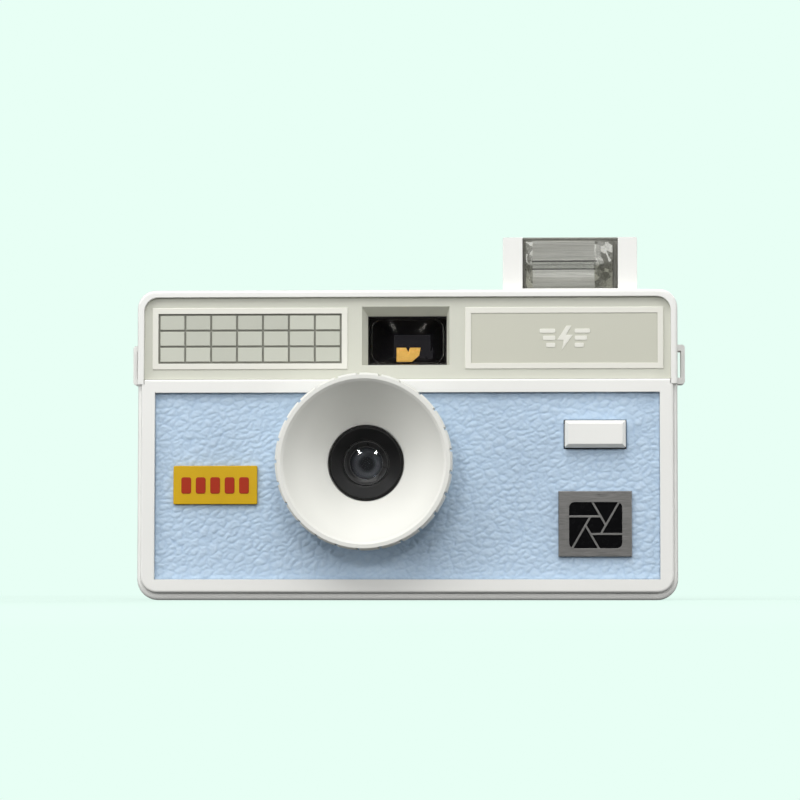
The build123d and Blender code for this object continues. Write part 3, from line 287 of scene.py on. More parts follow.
def enamel(name, colour, rough=0.14, coat=0.4, shine=0.3):
    """Gloss enamel with a faint unevenness."""
    s = Look(name)
    cloud = s.noise(3.5, detail=3.0)
    base = s.mix(tint(colour, 0.93), tint(colour, 1.06), cloud)
    edge = s.edges(0.3)
    base = s.mix(base, tint(colour, 0.7), s.math("MULTIPLY", edge, 0.35))
    s.set(Base_Color=base, Roughness=s.span(s.noise(0.8, detail=3.0), 0.3, 0.7, rough, rough + 0.1),
          Normal=s.bump(s.noise(1.8, detail=2.0), 0.006, normal=s.bevel(0.12)),
          Coat_Weight=coat, Coat_Roughness=0.08, Specular_IOR_Level=shine)
    return s.mat


def black(name, rough=0.42, level=0.016, grain=0.35, depth=0.006, size=0.6, shine=0.5, edge_highlight=0.35):
    """Black moulding or blackened metal, with a painted highlight along its edges."""
    s = Look(name)
    speck = s.noise(size, detail=3.0)
    base = s.mix((level, level, level * 1.05), (level * 1.9, level * 1.9, level * 1.9), speck)
    # Edges painted a lighter grey: a painted highlight.
    rubbed_edge_highlight = s.math("MULTIPLY", s.edges(0.3), edge_highlight)
    base = s.mix(base, (0.12, 0.12, 0.118), rubbed_edge_highlight)
    s.set(Base_Color=base, Roughness=s.span(speck, 0.3, 0.7, rough - 0.08, rough + 0.08),
          Normal=s.bump(s.noise(grain, detail=3.0), depth, normal=s.bevel(0.12)), Specular_IOR_Level=shine)
    return s.mat


def turned_stop(name, centre):
    """Blackened metal, turned in rings round the lens axis, with a painted highlight ring round the hole."""
    s = Look(name)
    offset = s.vector("MULTIPLY", s.vector("SUBTRACT", s.mm, centre), (1.0, 0.0, 1.0))
    radius = s.vector("LENGTH", offset)
    # The grey ring round the hole is a painted highlight.
    bright = s.math("MULTIPLY", s.span(radius, 1.3, 2.0), s.span(radius, 3.2, 2.4))
    groove = s.math("SINE", s.math("MULTIPLY", radius, 16.0))
    base = s.mix((0.006, 0.006, 0.007), (0.33, 0.325, 0.315), bright)
    s.set(Base_Color=base, Roughness=s.span(s.noise(1.0), 0.3, 0.7, 0.3, 0.45), Normal=s.bump(groove, 0.02))
    return s.mat


def lens_glass(name, colour, ior=1.52):
    """Optical glass, tinted by the colour given: faintly by a coating on the lenses, darkly as painted shade
    on the eyepiece.
    """
    s = Look(name)
    smear = s.noise(2.2, detail=3.0, distortion=0.6)
    s.set(Base_Color=colour, Roughness=s.span(smear, 0.45, 0.8, 0.02, 0.07), IOR=ior,
          Transmission_Weight=1.0)
    return s.mat


def clear_plastic(name, tone=(0.93, 0.94, 0.94), gloss=1.0, rough=0.05):
    """Thin clear plastic: what is behind it shows through, under a film of gloss."""
    s = Look(name)
    smear = s.noise(1.6, detail=3.0)
    through = s.tree.nodes.new("ShaderNodeBsdfTransparent")
    through.inputs["Color"].default_value = (*tone, 1.0)
    s.set(Base_Color=(0.9, 0.9, 0.9), Roughness=s.span(smear, 0.4, 0.8, rough, rough + 0.1),
          Metallic=1.0)
    film = s.tree.nodes.new("ShaderNodeFresnel")
    film.inputs["IOR"].default_value = 1.5
    mixed = s.tree.nodes.new("ShaderNodeMixShader")
    s.put(mixed.inputs[0], s.math("MULTIPLY", film.outputs[0], gloss, clamp=True))
    s.tree.links.new(through.outputs[0], mixed.inputs[1])
    s.tree.links.new(s.bsdf.outputs[0], mixed.inputs[2])
    s.tree.links.new(mixed.outputs[0], s.out.inputs["Surface"])
    return s.mat


def drawn_foil(name):
    """Thin bright foil, drawn in fine horizontal lines, with painted shade towards the bottom and a faint
    painted glow.
    """
    s = Look(name)
    lines = s.noise(0.16, detail=4.0, stretch=(60, 4, 1), roughness=0.7)
    bands = s.noise(1.3, detail=2.0, stretch=(30, 6, 1))
    base = s.mix((0.62, 0.62, 0.6), (1.0, 1.0, 0.99), s.span(lines, 0.32, 0.62))
    base = s.mix(base, (0.5, 0.5, 0.47), s.math("MULTIPLY", s.span(bands, 0.45, 0.7), 0.5))
    # Darker towards the bottom: painted shade.
    base = s.mix(base, (0.3, 0.3, 0.27), s.math("MULTIPLY", s.span(s.axis("Z"), 71.4, 68.2), 0.7))
    # The emission is painted light: the foil glows faintly though it is no lamp.
    s.set(Base_Color=base, Metallic=0.15, Roughness=s.span(lines, 0.3, 0.7, 0.25, 0.4),
          Normal=s.bump(lines, 0.015), Emission_Color=base, Emission_Strength=0.26)
    return s.mat


def crumpled_foil(name):
    """Bright folded foil: sharp light and dark facets as painted reflections, painted lit above and shaded
    below, with a faint painted glow.
    """
    s = Look(name)
    facet = s.tree.nodes.new("ShaderNodeTexVoronoi")
    facet.inputs["Scale"].default_value = 1.0
    facet.inputs["Randomness"].default_value = 1.0
    lean = s.vector("ADD", s.mm, s.vector("SCALE", s.grey(s.axis("Z")), scale=0.35))
    s.put(facet.inputs["Vector"], s.vector("MULTIPLY", lean, (0.75, 0.4, 0.42)))
    tone = s.axis("X", facet.outputs["Color"])
    fine = s.noise(0.5, detail=3.0)
    tone = s.math("ADD", s.math("MULTIPLY", tone, 0.8), s.math("MULTIPLY", fine, 0.25))
    # Light and dark facets are painted reflections; the upper copy is painted lit and the lower copy painted
    # in shade.
    upper = s.mix((0.24, 0.24, 0.22), (1.0, 1.0, 0.99), s.span(tone, 0.25, 0.6))
    lower = s.mix((0.12, 0.12, 0.1), (0.42, 0.42, 0.36), s.span(tone, 0.2, 0.8))
    base = s.mix(lower, upper, s.span(s.axis("Z"), 73.4, 74.4))
    # The emission is painted light: the foil glows though it is no lamp.
    s.set(Base_Color=base, Metallic=0.1, Roughness=s.span(fine, 0.3, 0.7, 0.2, 0.35),
          Normal=s.bump(tone, 0.3), Emission_Color=base, Emission_Strength=0.44)
    return s.mat


def circuit():
    """Green board with copper tracks."""
    s = Look("circuit_board_green")
    tracks = s.noise(1.4, detail=1.0, stretch=(1, 1, 4))
    base = s.mix((0.03, 0.1, 0.035), (0.16, 0.2, 0.05), s.span(tracks, 0.5, 0.56))
    s.set(Base_Color=base, Roughness=s.span(tracks, 0.4, 0.6, 0.45, 0.3), Normal=s.bump(tracks, 0.03))
    return s.mat


def foam():
    """Open-cell black foam."""
    s = Look("seal_foam")
    pores = s.noise(0.35, detail=3.0)
    base = s.mix((0.008, 0.008, 0.008), (0.05, 0.05, 0.05), pores)
    s.set(Base_Color=base, Roughness=s.span(pores, 0.3, 0.7, 0.85, 1.0), Normal=s.bump(pores, 0.12))
    return s.mat


def glow_plastic(name, colour, light):
    """Tinted translucent plastic that glows with the strength given as light."""
    s = Look(name)
    cloud = s.noise(1.2, detail=2.0)
    base = s.mix(tint(colour, 0.75), tint(colour, 1.15), cloud)
    s.set(Base_Color=base, Roughness=s.span(cloud, 0.3, 0.7, 0.2, 0.3), Normal=s.bump(cloud, 0.03),
          Coat_Weight=0.5, Coat_Roughness=0.05, Emission_Color=colour, Emission_Strength=light)
    return s.mat


LENS_CENTRE = (-8.8, 0.0, 29.7)
CELL_BOX = (-54.3, -14.2, 51.5, 62.4)
CELL_COLUMNS, CELL_ROWS, CELL_GAP = 7, 3, 0.42

white = moulded("white_satin_plastic", srgb(242, 242, 238))
white_hood = moulded("white_hood_plastic", srgb(231, 231, 225), rough=0.42, edge_highlight=0.1)
white_frame = moulded("white_border_plastic", srgb(234, 233, 223), rough=0.4, edge=0.12)
fascia = moulded("fascia_plastic", srgb(211, 212, 199), rough=0.46, grain=0.35, grain_depth=0.006,
                 edge_highlight=0.05, edge=0.1)
title = moulded("title_plastic", srgb(203, 203, 188), rough=0.4, grain=0.3, edge_highlight=0.05, edge=0.08)
grey = moulded("grey_plastic", srgb(176, 176, 172), rough=0.34)
cell_look = cells("cell_plastic", CELL_BOX, CELL_COLUMNS, CELL_ROWS, CELL_GAP)
cell_dark = moulded("cell_gap_plastic", srgb(132, 132, 122), rough=0.5, corner_dust_and_shade=0.05)
steel = plated("plated_steel", (0.62, 0.62, 0.63))
badge_steel = brushed("badge_brushed_steel", (0.27, 0.265, 0.255), rough=0.34)
yellow = enamel("yellow_enamel", srgb(214, 172, 6), rough=0.36, coat=0.1)
red = enamel("red_enamel", srgb(172, 42, 2), rough=0.4, coat=0.05)
black_enamel = enamel("black_enamel", (0.003, 0.003, 0.0035), rough=0.2, coat=0.05, shine=0.08)
black_satin = black("black_satin_plastic")
black_bezel = black("black_bezel", rough=0.34, level=0.004, grain=0.2, depth=0.001, size=5.0, shine=0.2)
# The retaining ring's lighter edge line is a painted highlight.
black_ring = black("black_retaining_ring", rough=0.3, level=0.006, depth=0.001, size=4.0, shine=0.3, edge_highlight=1.0)
black_stop = turned_stop("black_lens_stop", LENS_CENTRE)
black_matt = black("black_matt", rough=0.72, level=0.006)
black_tunnel = black("black_finder_tunnel", rough=0.5, level=0.028)
front_glass = lens_glass("coated_lens_glass", (0.9, 0.92, 0.96))
finder_glass = lens_glass("finder_glass", (0.82, 0.8, 0.76), ior=1.18)
# The eyepiece's dark tint is painted shade: it darkens the view through the finder.
eyepiece_glass = lens_glass("eyepiece_glass", (0.2, 0.19, 0.23))
window_clear = clear_plastic("flash_window_clear", (0.95, 0.95, 0.93), rough=0.08)
counter_clear = clear_plastic("counter_window_clear")
tube_glass = clear_plastic("flash_tube_glass", (0.8, 0.81, 0.8), 3.0)
dial_white = moulded("dial_white", srgb(232, 231, 224), rough=0.5, corner_dust_and_shade=0.1)
ink = black("dial_ink", rough=0.6, level=0.012)
strip_grey = moulded("flash_strip_plastic", srgb(162, 161, 156), rough=0.4)
lamp = glow_plastic("lamp_orange", srgb(222, 88, 34), light=0.05)
# The light pipe is no lamp: its glow is painted light.
amber = glow_plastic("amber_light_pipe", srgb(234, 188, 98), light=0.6)
sleeve = enamel("capacitor_sleeve", (0.02, 0.022, 0.035), rough=0.3)

PAINT = {
    white: ["front_cover", "top_cover", "back_door", "flash_housing", "flash_button", "battery_door",
            "strap_lug_left", "strap_lug_right"],
    white_hood: ["lens_hood"],
    white_frame: ["panel_frames"],
    fascia: ["fascia_panel"],
    title: ["title_plate"],
    cell_look: ["cell_tiles"],
    cell_dark: ["cell_backing"],
    yellow: ["badge_left"],
    badge_steel: ["badge_right"],
    black_enamel: ["badge_inset"],
    black_bezel: ["lens_barrel"],
    black_ring: ["lens_retainer"],
    black_satin: ["film_chassis", "cassette_chamber", "takeup_chamber", "takeup_spool", "advance_wheel",
                  "sprocket", "crank_knob", "door_latch", "rewind_bush"],
    black_matt: ["shutter_blade", "pressure_plate"],
    black_tunnel: ["finder_tunnel"],
    black_stop: ["aperture_stop"],
    grey: ["shutter_button", "rewind_release", "rewind_hub"],
    dial_white: ["counter_dial"],
    steel: ["shutter_plate", "release_lever", "blade_spring", "button_spring", "flash_spring", "wheel_pawl",
            "pressure_spring", "door_hinge_pin", "case_screws", "battery_contacts", "rewind_crank"],
    foam(): ["light_seals"],
    front_glass: ["front_element", "rear_element"],
    finder_glass: ["finder_front_lens"],
    eyepiece_glass: ["finder_eyepiece"],
    counter_clear: ["counter_window"],
    window_clear: ["flash_window"],
    tube_glass: ["flash_tube"],
    lamp: ["ready_lamp"],
    circuit(): ["circuit_board"],
    sleeve: ["flash_capacitor"],
}
for material, names in PAINT.items():
    for name in names:
        mesh = NODES[name].data
        mesh.materials.clear()
        mesh.materials.append(material)


# ---------------------------------------------------------------- mesh building
BUTTON_HOLE = (34.05, 47.75, 32.75, 39.15)


def place(name, mesh, body):
    """Puts a mesh in the scene as a piece on a body."""
    piece = bpy.data.objects.new(name, mesh)
    bpy.context.scene.collection.objects.link(piece)
    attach(piece, body)
    return piece


def filled_mesh(name, bm, material):
    """A mesh made from a bmesh, which is then freed."""
    mesh = bpy.data.meshes.new(name)
    bm.to_mesh(mesh)
    bm.free()
    mesh.materials.append(material)
    return mesh


def point_mesh(name, verts, faces, material, smooth=False):
    """A mesh made from points in millimetres."""
    mesh = bpy.data.meshes.new(name)
    mesh.from_pydata([tuple(c * MM for c in v) for v in verts], [], faces)
    mesh.validate()
    mesh.materials.append(material)
    mesh.polygons.foreach_set("use_smooth", [smooth] * len(mesh.polygons))
    return mesh


def node_box(node):
    """A CAD node's two corners, in millimetres."""
    return [[c / MM for c in corner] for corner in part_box(node)]


def prisms(name, outlines, front, back, material, body, bevel=0.05):
    """Flat shapes seen from the front, raised from one depth to another, with softened edges."""
    bm = bmesh.new()
    for outline in outlines:
        base = [bm.verts.new((x * MM, front * MM, z * MM)) for x, z in outline]
        face = bm.faces.new(base)
        rear = bmesh.ops.extrude_face_region(bm, geom=[face])["geom"]
        moved = [v for v in rear if isinstance(v, bmesh.types.BMVert)]
        bmesh.ops.translate(bm, verts=moved, vec=(0, (back - front) * MM, 0))
    bmesh.ops.recalc_face_normals(bm, faces=bm.faces)
    rim = [e for e in bm.edges if all(abs(v.co.y - front * MM) < 1e-7 for v in e.verts)]
    bmesh.ops.bevel(bm, geom=rim, offset=bevel * MM, segments=2, affect="EDGES")
    return place(name, filled_mesh(name, bm, material), body)


def smooth_step(value, low, high):
    """0 below low, 1 above high, and a smooth curve between them."""
    t = np.clip((value - low) / (high - low), 0.0, 1.0)
    return t * t * (3 - 2 * t)


def soft_noise(x, z, size, seed):
    """Smooth noise from -1 to 1, with features about size across."""
    table = np.random.default_rng(seed).random((128, 128)) * 2 - 1
    gx, gz = x / size + 40.3, z / size + 31.7
    ix, iz = np.floor(gx).astype(int), np.floor(gz).astype(int)
    fx, fz = smooth_step(gx - ix, 0, 1), smooth_step(gz - iz, 0, 1)
    corners = [[table[(ix + i) % 128, (iz + j) % 128] for j in (0, 1)] for i in (0, 1)]
    low = corners[0][0] * (1 - fx) + corners[1][0] * fx
    high = corners[0][1] * (1 - fx) + corners[1][1] * fx
    return low * (1 - fz) + high * fz


def pebbles(x, z, width, height, seed):
    """How far each point is from the crease between its pebble and the next, 0 in the crease."""
    table = np.random.default_rng(seed).random((128, 128, 2))
    gx, gz = x / width + 60.0, z / height + 60.0
    ix, iz = np.floor(gx).astype(int), np.floor(gz).astype(int)
    nearest = np.full(x.shape, 9.0)
    second = np.full(x.shape, 9.0)
    for i in (-1, 0, 1):
        for j in (-1, 0, 1):
            place = table[(ix + i) % 128, (iz + j) % 128]
            away = np.hypot(gx - (ix + i + place[..., 0]), gz - (iz + j + place[..., 1]))
            second = np.minimum(second, np.maximum(nearest, away))
            nearest = np.minimum(nearest, away)
    return second - nearest


def dome(value, reach):
    """Rises steeply from 0 and levels off at 1."""
    t = np.clip(value / reach, 0.0, 1.0)
    return 1 - (1 - t) ** 2


def grain_height(x, z):
    """The covering's relief, about 0 in a crease and 1 on a pebble."""
    wx = x + 0.3 * soft_noise(x, z, 1.9, 1) + 0.13 * soft_noise(x, z, 0.8, 2)
    wz = z + 0.24 * soft_noise(x, z, 1.6, 3) + 0.1 * soft_noise(x, z, 0.7, 4)
    lean = math.radians(24)
    rx, rz = wx * math.cos(lean) + wz * math.sin(lean), wz * math.cos(lean) - wx * math.sin(lean)
    tx, tz = wx * math.cos(lean) - wz * math.sin(lean), wz * math.cos(lean) + wx * math.sin(lean)
    large = dome(pebbles(rx, rz, 2.4, 1.4, 5), 0.8)
    small = dome(pebbles(tx, tz, 1.5, 0.9, 6), 0.75)
    fold = np.abs(soft_noise(rx / 2.4, rz, 1.5, 7) + 0.35 * soft_noise(rx / 1.6, rz, 0.8, 8))
    crease = dome(fold, 0.16)
    swell = 0.5 + 0.5 * soft_noise(x, z, 2.4, 9)
    return 0.44 * large + 0.24 * small + 0.2 * crease + 0.12 * swell


def covering(name):
    """The covering as a fine displaced sheet, cut out round the hood and the flash button."""
    (x0, y0, z0), (x1, y1, z1) = node_box("leatherette")
    pitch = 0.2
    columns, rows = round((x1 - x0) / pitch), round((z1 - z0) / pitch)
    xs = np.linspace(x0, x1, columns + 1)
    zs = np.linspace(z0, z1, rows + 1)
    x, z = np.meshgrid(xs, zs, indexing="ij")
    hood_x, _, hood_z = LENS_CENTRE
    hood_r = 14.75
    bx0, bx1, bz0, bz1 = BUTTON_HOLE

    def in_hood(px, pz):
        return np.hypot(px - hood_x, pz - hood_z) < hood_r

    def in_button(px, pz):
        return (px > bx0) & (px < bx1) & (pz > bz0) & (pz < bz1)

    middle_x = (x[:-1, :-1] + x[1:, 1:]) / 2
    middle_z = (z[:-1, :-1] + z[1:, 1:]) / 2
    kept = ~(in_hood(middle_x, middle_z) | in_button(middle_x, middle_z))
    height = grain_height(x, z)
    index = np.arange(x.size).reshape(x.shape)
    i, j = np.nonzero(kept)
    quads = np.stack([index[i, j], index[i, j + 1], index[i + 1, j + 1], index[i + 1, j]], axis=1)

    radius = np.hypot(x - hood_x, z - hood_z)
    near = np.abs(radius - hood_r) < pitch * 0.75
    used = np.zeros(x.size, int)
    np.add.at(used, quads.ravel(), 1)
    border = (used.reshape(x.shape) < 4) & near
    x = np.where(border, hood_x + (x - hood_x) * hood_r / np.maximum(radius, 1e-6), x)
    z = np.where(border, hood_z + (z - hood_z) * hood_r / np.maximum(radius, 1e-6), z)

    edge = np.minimum.reduce([x - x0, x1 - x, z - z0, z1 - z])
    edge = np.minimum(edge, np.abs(radius - hood_r))
    button = np.maximum.reduce([bx0 - x, x - bx1, bz0 - z, z - bz1])
    edge = np.minimum(edge, np.maximum(button, 0.0))
    tuck = smooth_step(edge, 0.0, 0.35)
    relief, rounding = 0.27, 0.06
    y = y0 + 0.02 + relief * (1 - height) + rounding * (1 - tuck)
    verts = np.stack([x, y, z], axis=-1).reshape(-1, 3)
    bm = bmesh.new()
    layer = bm.verts.layers.float.new("grain")
    made = [bm.verts.new(tuple(c * MM for c in v)) for v in verts.tolist()]
    for vertex, value in zip(made, height.reshape(-1).tolist()):
        vertex[layer] = value
    for quad in quads.tolist():
        bm.faces.new([made[k] for k in quad])
    bmesh.ops.delete(bm, geom=[v for v in bm.verts if not v.link_faces], context="VERTS")
    rim = [e for e in bm.edges if e.is_boundary]
    wall = bmesh.ops.extrude_edge_only(bm, edges=rim)["geom"]
    for vertex in (v for v in wall if isinstance(v, bmesh.types.BMVert)):
        vertex.co.y = y1 * MM
    bmesh.ops.recalc_face_normals(bm, faces=bm.faces)
    front = sum(f.normal.y * f.calc_area() for f in bm.faces)
    if front > 0:
        bmesh.ops.reverse_faces(bm, faces=bm.faces)
    mesh = filled_mesh(name, bm, leather())
    mesh.polygons.foreach_set("use_smooth", [True] * len(mesh.polygons))
    piece = place(name, mesh, "camera")
    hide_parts("leatherette")


covering("leatherette_sheet")


# ---------------------------------------------------------------- emblems
def bolt(cx, cz, size):
    """The outline of a plain lightning bolt."""
    shape = [(0.06, 0.5), (-0.32, -0.08), (-0.05, -0.08), (-0.14, -0.5),
             (0.32, 0.13), (0.05, 0.13), (0.26, 0.5)]
    return [(cx + size * x, cz + size * z) for x, z in shape]


def bar(x0, x1, z0, z1, corner=0.3, steps=4):
    """The outline of a bar with round corners."""
    points = []
    for cx, cz, start in ((x1 - corner, z1 - corner, 0), (x0 + corner, z1 - corner, 90),
                          (x0 + corner, z0 + corner, 180), (x1 - corner, z0 + corner, 270)):
        for k in range(steps + 1):
            angle = math.radians(start + 90 * k / steps)
            points.append((cx + corner * math.cos(angle), cz + corner * math.sin(angle)))
    return points


title_front = node_box("title_plate")[0][1]
mark_x, mark_z = 34.4, 56.9
title_shapes = [bolt(mark_x, mark_z, 5.4)]
for side in (-1, 1):
    for k, length in enumerate((3.4, 2.7, 2.0)):
        low = mark_z + 1.1 - 1.55 * k
        near = mark_x + side * 2.1
        far = near + side * length
        title_shapes.append(bar(min(near, far), max(near, far), low, low + 0.95, 0.25))
emblem = prisms("title_emblem", title_shapes, title_front - 0.07, title_front + 0.05, white_frame,
                "camera", 0.02)

(badge_x0, badge_front, badge_z0), (_, _, badge_z1) = node_box("badge_left")
badge_z = (badge_z0 + badge_z1) / 2
blocks = []
for k in range(5):
    left = badge_x0 + 1.75 + k * 3.15
    blocks.append(bar(left, left + 2.15, badge_z - 1.9, badge_z + 1.7, 0.5))
motif = prisms("badge_perforations", blocks, badge_front - 0.06, badge_front + 0.05, red, "camera", 0.02)


# ---------------------------------------------------------------- flash reflector
def trough(t, y_floor, y_mouth, z_low, z_high):
    """A point on the pan's section: t runs from -1 at its lower lip to 1 at its upper lip."""
    middle = 73.4
    reach = z_high - middle if t > 0 else middle - z_low
    return y_floor + (y_mouth - y_floor) * abs(t) ** 1.8, middle + reach * t


def reflector(name):
    """A fluted trough in place of the plain CAD pan, with crumpled foil at its ends."""
    (_, y0, z0), (_, y1, z1) = node_box("flash_reflector")
    shape = (y1 - 0.4, y0 + 0.1, z0 + 0.05, z1 - 0.15)
    flutes = 9
    profile = []
    for k in range(flutes):
        low, high = -1 + 2 * k / flutes, -1 + 2 * (k + 1) / flutes
        for share in (0.04, 0.2, 0.5, 0.8, 0.96):
            y, z = trough(low + (high - low) * share, *shape)
            profile.append((y - 0.2 * math.sin(math.pi * share), z))
    left, right = 27.4, 41.0
    verts = [(x, y, z) for x in (left, (left + right) / 2, right) for y, z in profile]
    n = len(profile)
    faces = [(c * n + k, c * n + k + 1, (c + 1) * n + k + 1, (c + 1) * n + k)
             for c in range(2) for k in range(n - 1)]
    piece = place(name, point_mesh(name, verts, faces, drawn_foil("flash_reflector_metal")), "flash")
    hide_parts("flash_reflector")

    rng = np.random.default_rng(14)
    verts, faces = [], []
    rows = 6
    for inner, outer, columns, jolt in ((left, 25.95, 2, 0.7), (right, 44.85, 4, 1.25)):
        base = len(verts)
        for c in range(columns + 1):
            share = c / columns
            for r in range(rows + 1):
                y, z = trough(-0.97 + 1.94 * r / rows, *shape)
                loose = jolt * math.sin(math.pi * min(1.0, share + 0.15)) if 0 < c else 0.0
                dx, dy, dz = (rng.random(3) - 0.5) * loose
                y = y + (shape[1] - y) * share ** 1.2 + dy
                verts.append((inner + (outer - inner) * share + 0.6 * dx, min(max(y, shape[1]), shape[0]),
                              min(max(z + 0.7 * dz, shape[2]), shape[3])))
        for c in range(columns):
            for r in range(rows):
                a = base + c * (rows + 1) + r
                b = a + rows + 1
                if (c + r) % 2:
                    faces += [(a, a + 1, b), (a + 1, b + 1, b)]
                else:
                    faces += [(a, a + 1, b + 1), (a, b + 1, b)]
    mesh = point_mesh("flash_reflector_ends", verts, faces, crumpled_foil("flash_foil"))
    place("flash_reflector_ends", mesh, "flash")


reflector("flash_reflector_pan")
strips = [bar(x0, x1, 68.35, 78.6, 0.15) for x0, x1 in ((25.25, 25.85), (44.95, 45.95))]
sides = prisms("flash_mouth_strips", strips, -7.25, -6.2, strip_grey, "flash", 0.1)
lintel_shape = bar(25.25, 45.95, 78.7, 79.15, 0.1)
lintel = prisms("flash_mouth_lintel", [lintel_shape], -7.32, -7.17, strip_grey, "flash", 0.03)


# ---------------------------------------------------------------- viewfinder inside
finder_low, finder_high = node_box("finder_front_lens")
mask_y = finder_high[1] + 0.3
window = bar(finder_low[0] + 0.75, finder_high[0] - 0.75, finder_low[2] + 0.25, finder_high[2] - 0.25,
             2.3, 8)


def ring_between(name, outline, width, y0, y1, material, body):
    """A thin frame that follows an outline."""
    centre_x = sum(p[0] for p in outline) / len(outline)
    centre_z = sum(p[1] for p in outline) / len(outline)
    half_x = max(p[0] for p in outline) - centre_x
    half_z = max(p[1] for p in outline) - centre_z
    share_x, share_z = 1 - width / half_x, 1 - width / half_z
    inner = [(centre_x + (x - centre_x) * share_x, centre_z + (z - centre_z) * share_z) for x, z in outline]
    n = len(outline)
    verts = [(x, y0, z) for x, z in outline] + [(x, y0, z) for x, z in inner]
    verts += [(x, y1, z) for x, z in outline] + [(x, y1, z) for x, z in inner]
    faces = []
    for k in range(n):
        m = (k + 1) % n
        faces += [(k, m, n + m, n + k), (n + k, n + m, 3 * n + m, 3 * n + k),
                  (2 * n + k, 3 * n + k, 3 * n + m, 2 * n + m), (k, 2 * n + k, 2 * n + m, m)]
    return place(name, point_mesh(name, verts, faces, material), body)


bezel = ring_between("finder_mask", window, 0.22, mask_y, mask_y + 0.5, black_satin, "camera")

pipe_shape = [(-2.5, 52.2), (0.9, 52.2), (2.5, 53.6), (2.8, 55.3),
              (0.5, 55.3), (0.1, 54.3), (-0.4, 55.3), (-2.5, 55.3)]
pipe = prisms("finder_light_pipe", [pipe_shape], mask_y + 0.7, mask_y + 1.6, amber, "camera", 0.25)


# ---------------------------------------------------------------- counter numbers
def dial_numbers():
    """Numbers and ticks round the counter's dial, as flat inked shapes."""
    (dx0, dy0, _), (dx1, dy1, _) = node_box("counter_dial")
    cx, cy = (dx0 + dx1) / 2, (dy0 + dy1) / 2
    top = 63.3
    parts = []
    for k in range(10):
        curve = bpy.data.curves.new("number", "FONT")
        curve.body = str(k * 8)
        curve.size = 1.7 * MM
        curve.align_x, curve.align_y = "CENTER", "CENTER"
        curve.extrude = 0.015 * MM
        holder = bpy.data.objects.new("number", curve)
        bpy.context.scene.collection.objects.link(holder)
        bpy.context.view_layer.update()
        mesh = bpy.data.meshes.new_from_object(holder.evaluated_get(bpy.context.evaluated_depsgraph_get()))
        bpy.data.objects.remove(holder)
        bpy.data.curves.remove(curve)
        angle = math.radians(90 - 36 * k)
        spot = Vector((cx + 4.6 * math.cos(angle), cy + 4.6 * math.sin(angle), top + 0.02)) * MM
        mesh.transform(Matrix.Translation(spot) @ Matrix.Rotation(angle + math.radians(90), 4, "Z"))
        parts.append(mesh)
    bm = bmesh.new()
    for mesh in parts:
        bm.from_mesh(mesh)
        bpy.data.meshes.remove(mesh)
    for k in range(80):
        angle = math.radians(4.5 * k)
        long = 0.85 if k % 8 == 0 else 0.5
        turn = Matrix.Rotation(angle, 4, "Z")
        corners = [(6.85 - long, -0.06), (6.85, -0.06), (6.85, 0.06), (6.85 - long, 0.06)]
        quad = [turn @ Vector((x, y, 0)) + Vector((cx, cy, top + 0.02)) for x, y in corners]
        bm.faces.new([bm.verts.new(v * MM) for v in quad])
    piece = place("counter_numbers", filled_mesh("counter_numbers", bm, ink), "counter")


dial_numbers()


# ---------------------------------------------------------------- springs copied from the CAD
def closing_spring(name, node):
    """A copy of the CAD coil, put on the camera body in place of the CAD one."""
    coil = place(name, NODES[node].data.copy(), "camera")
    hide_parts(node)
    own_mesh(coil)


closing_spring("flash_spring_coil", "flash_spring")
closing_spring("button_spring_coil", "button_spring")


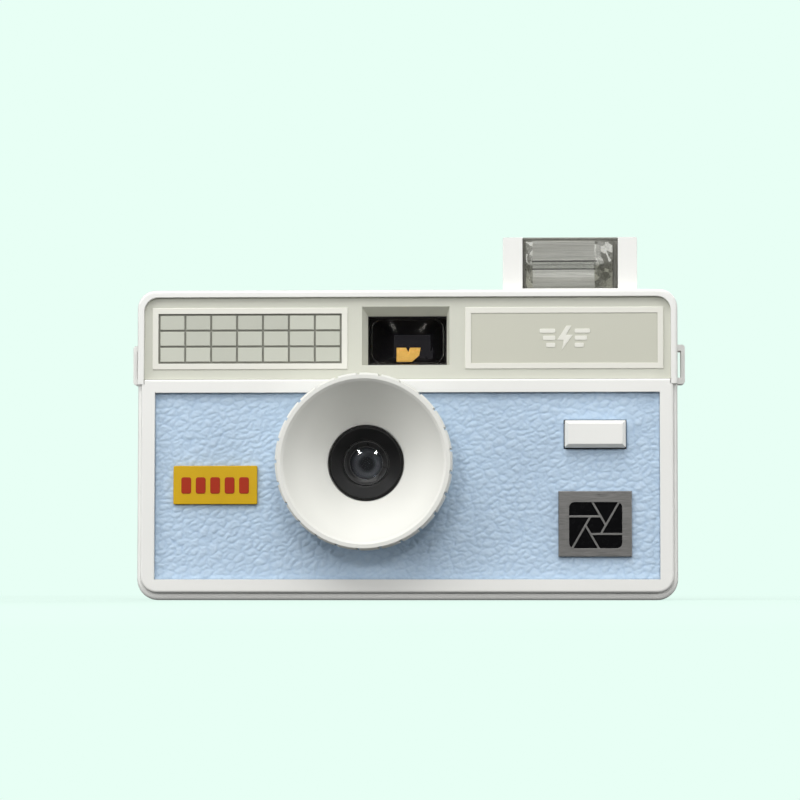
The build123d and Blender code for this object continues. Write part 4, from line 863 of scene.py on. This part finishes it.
# ---------------------------------------------------------------- stage, lights, camera
def sweep(name, tone):
    """A pale floor that curves up into a surround, seen by the camera without lighting the model."""
    look = Look(name)
    away = look.vector("LENGTH", look.mm)
    far = look.span(away, 90.0, 420.0)
    look.set(Base_Color=look.mix(tint(tone, 0.24), (0, 0, 0), far), Roughness=0.9, Specular_IOR_Level=0.0,
             Emission_Color=tone, Emission_Strength=look.span(far, 0.0, 1.0, 0.72, 1.0))
    reach, curl, height = 2.0, 0.7, 2.6
    profile = [(0.0, 0.0), (0.3, 0.0), (0.8, 0.0), (1.4, 0.0)]
    profile += [(reach + curl * math.sin(a), curl - curl * math.cos(a))
                for a in np.linspace(0, math.pi / 2, 9)]
    profile += [((reach + curl) * math.cos(a), curl + height * math.sin(a))
                for a in np.linspace(0.2, 1.5, 9)]
    around = 64
    step = 2 * math.pi / around
    verts = [(r * math.cos(k * step) / MM, r * math.sin(k * step) / MM, h / MM)
             for r, h in profile for k in range(around)]
    faces = []
    for j in range(len(profile) - 1):
        for k in range(around):
            inner, outer, after = j * around, (j + 1) * around, (k + 1) % around
            faces.append((inner + k, inner + after, outer + after, outer + k))
    floor = bpy.data.objects.new(name, point_mesh(name, verts, faces, look.mat, smooth=True))
    bpy.context.scene.collection.objects.link(floor)
    floor.visible_diffuse = False
    floor.visible_glossy = False
    floor.visible_transmission = False
    floor.visible_shadow = False


def add_light(name, location, size, power, colour=(1, 1, 1), roll=0):
    """An area light that looks at the model, turned about its own beam by roll degrees."""
    data = bpy.data.lights.new(name, "AREA")
    data.shape = "RECTANGLE"
    data.size, data.size_y = size
    data.energy = power
    data.color = colour
    light = bpy.data.objects.new(name, data)
    light.location = location
    aim = Vector(LIT_POINT) - Vector(location)
    turn = Quaternion((0, 0, 1), math.radians(roll))
    light.rotation_euler = (aim.to_track_quat("-Z", "Y") @ turn).to_euler()
    bpy.context.scene.collection.objects.link(light)


sweep("studio_sweep", srgb(232, 255, 245))
LIT_POINT = (0, -0.01, 0.035)
add_light("key", (-0.2, -0.71, 1.16), (1.3, 1.0), 15.8, (1.0, 0.995, 0.985))
add_light("strip_left", (-0.187, -0.753, 0.272), (0.035, 0.12), 0.8, roll=38)
add_light("strip_right", (0.126, -0.761, 0.274), (0.035, 0.12), 0.8, roll=-38)
add_light("back", (0.35, 0.8, 0.6), (0.7, 0.6), 5.0)
add_light("side_left", (-0.8, -0.35, 0.2), (0.4, 0.5), 2.6)
add_light("side_right", (0.8, -0.35, 0.2), (0.4, 0.5), 2.2)

world = bpy.data.worlds.new("surround")
world.use_nodes = True
world.node_tree.nodes["Background"].inputs[0].default_value = (*srgb(246, 250, 250), 1)
world.node_tree.nodes["Background"].inputs[1].default_value = 0.1
bpy.context.scene.world = world

view = bpy.context.scene.view_settings
view.view_transform = "Standard"
view.look = "None"

EYE = Vector((28.3, -611.2, 3.0)) * MM
AIM = Vector((9.0, -11.2, 34.7)) * MM
camera_data = bpy.data.cameras.new("camera")
camera_data.lens = 124.7
camera_data.shift_x = -0.06
camera_data.shift_y = 0.05
camera_data.sensor_width = 36.0
camera_data.clip_start = 0.01
camera_data.clip_end = 20.0
camera = bpy.data.objects.new("camera", camera_data)
camera.location = EYE
camera.rotation_euler = (AIM - EYE).to_track_quat("-Z", "Y").to_euler()
bpy.context.scene.collection.objects.link(camera)
bpy.context.scene.camera = camera
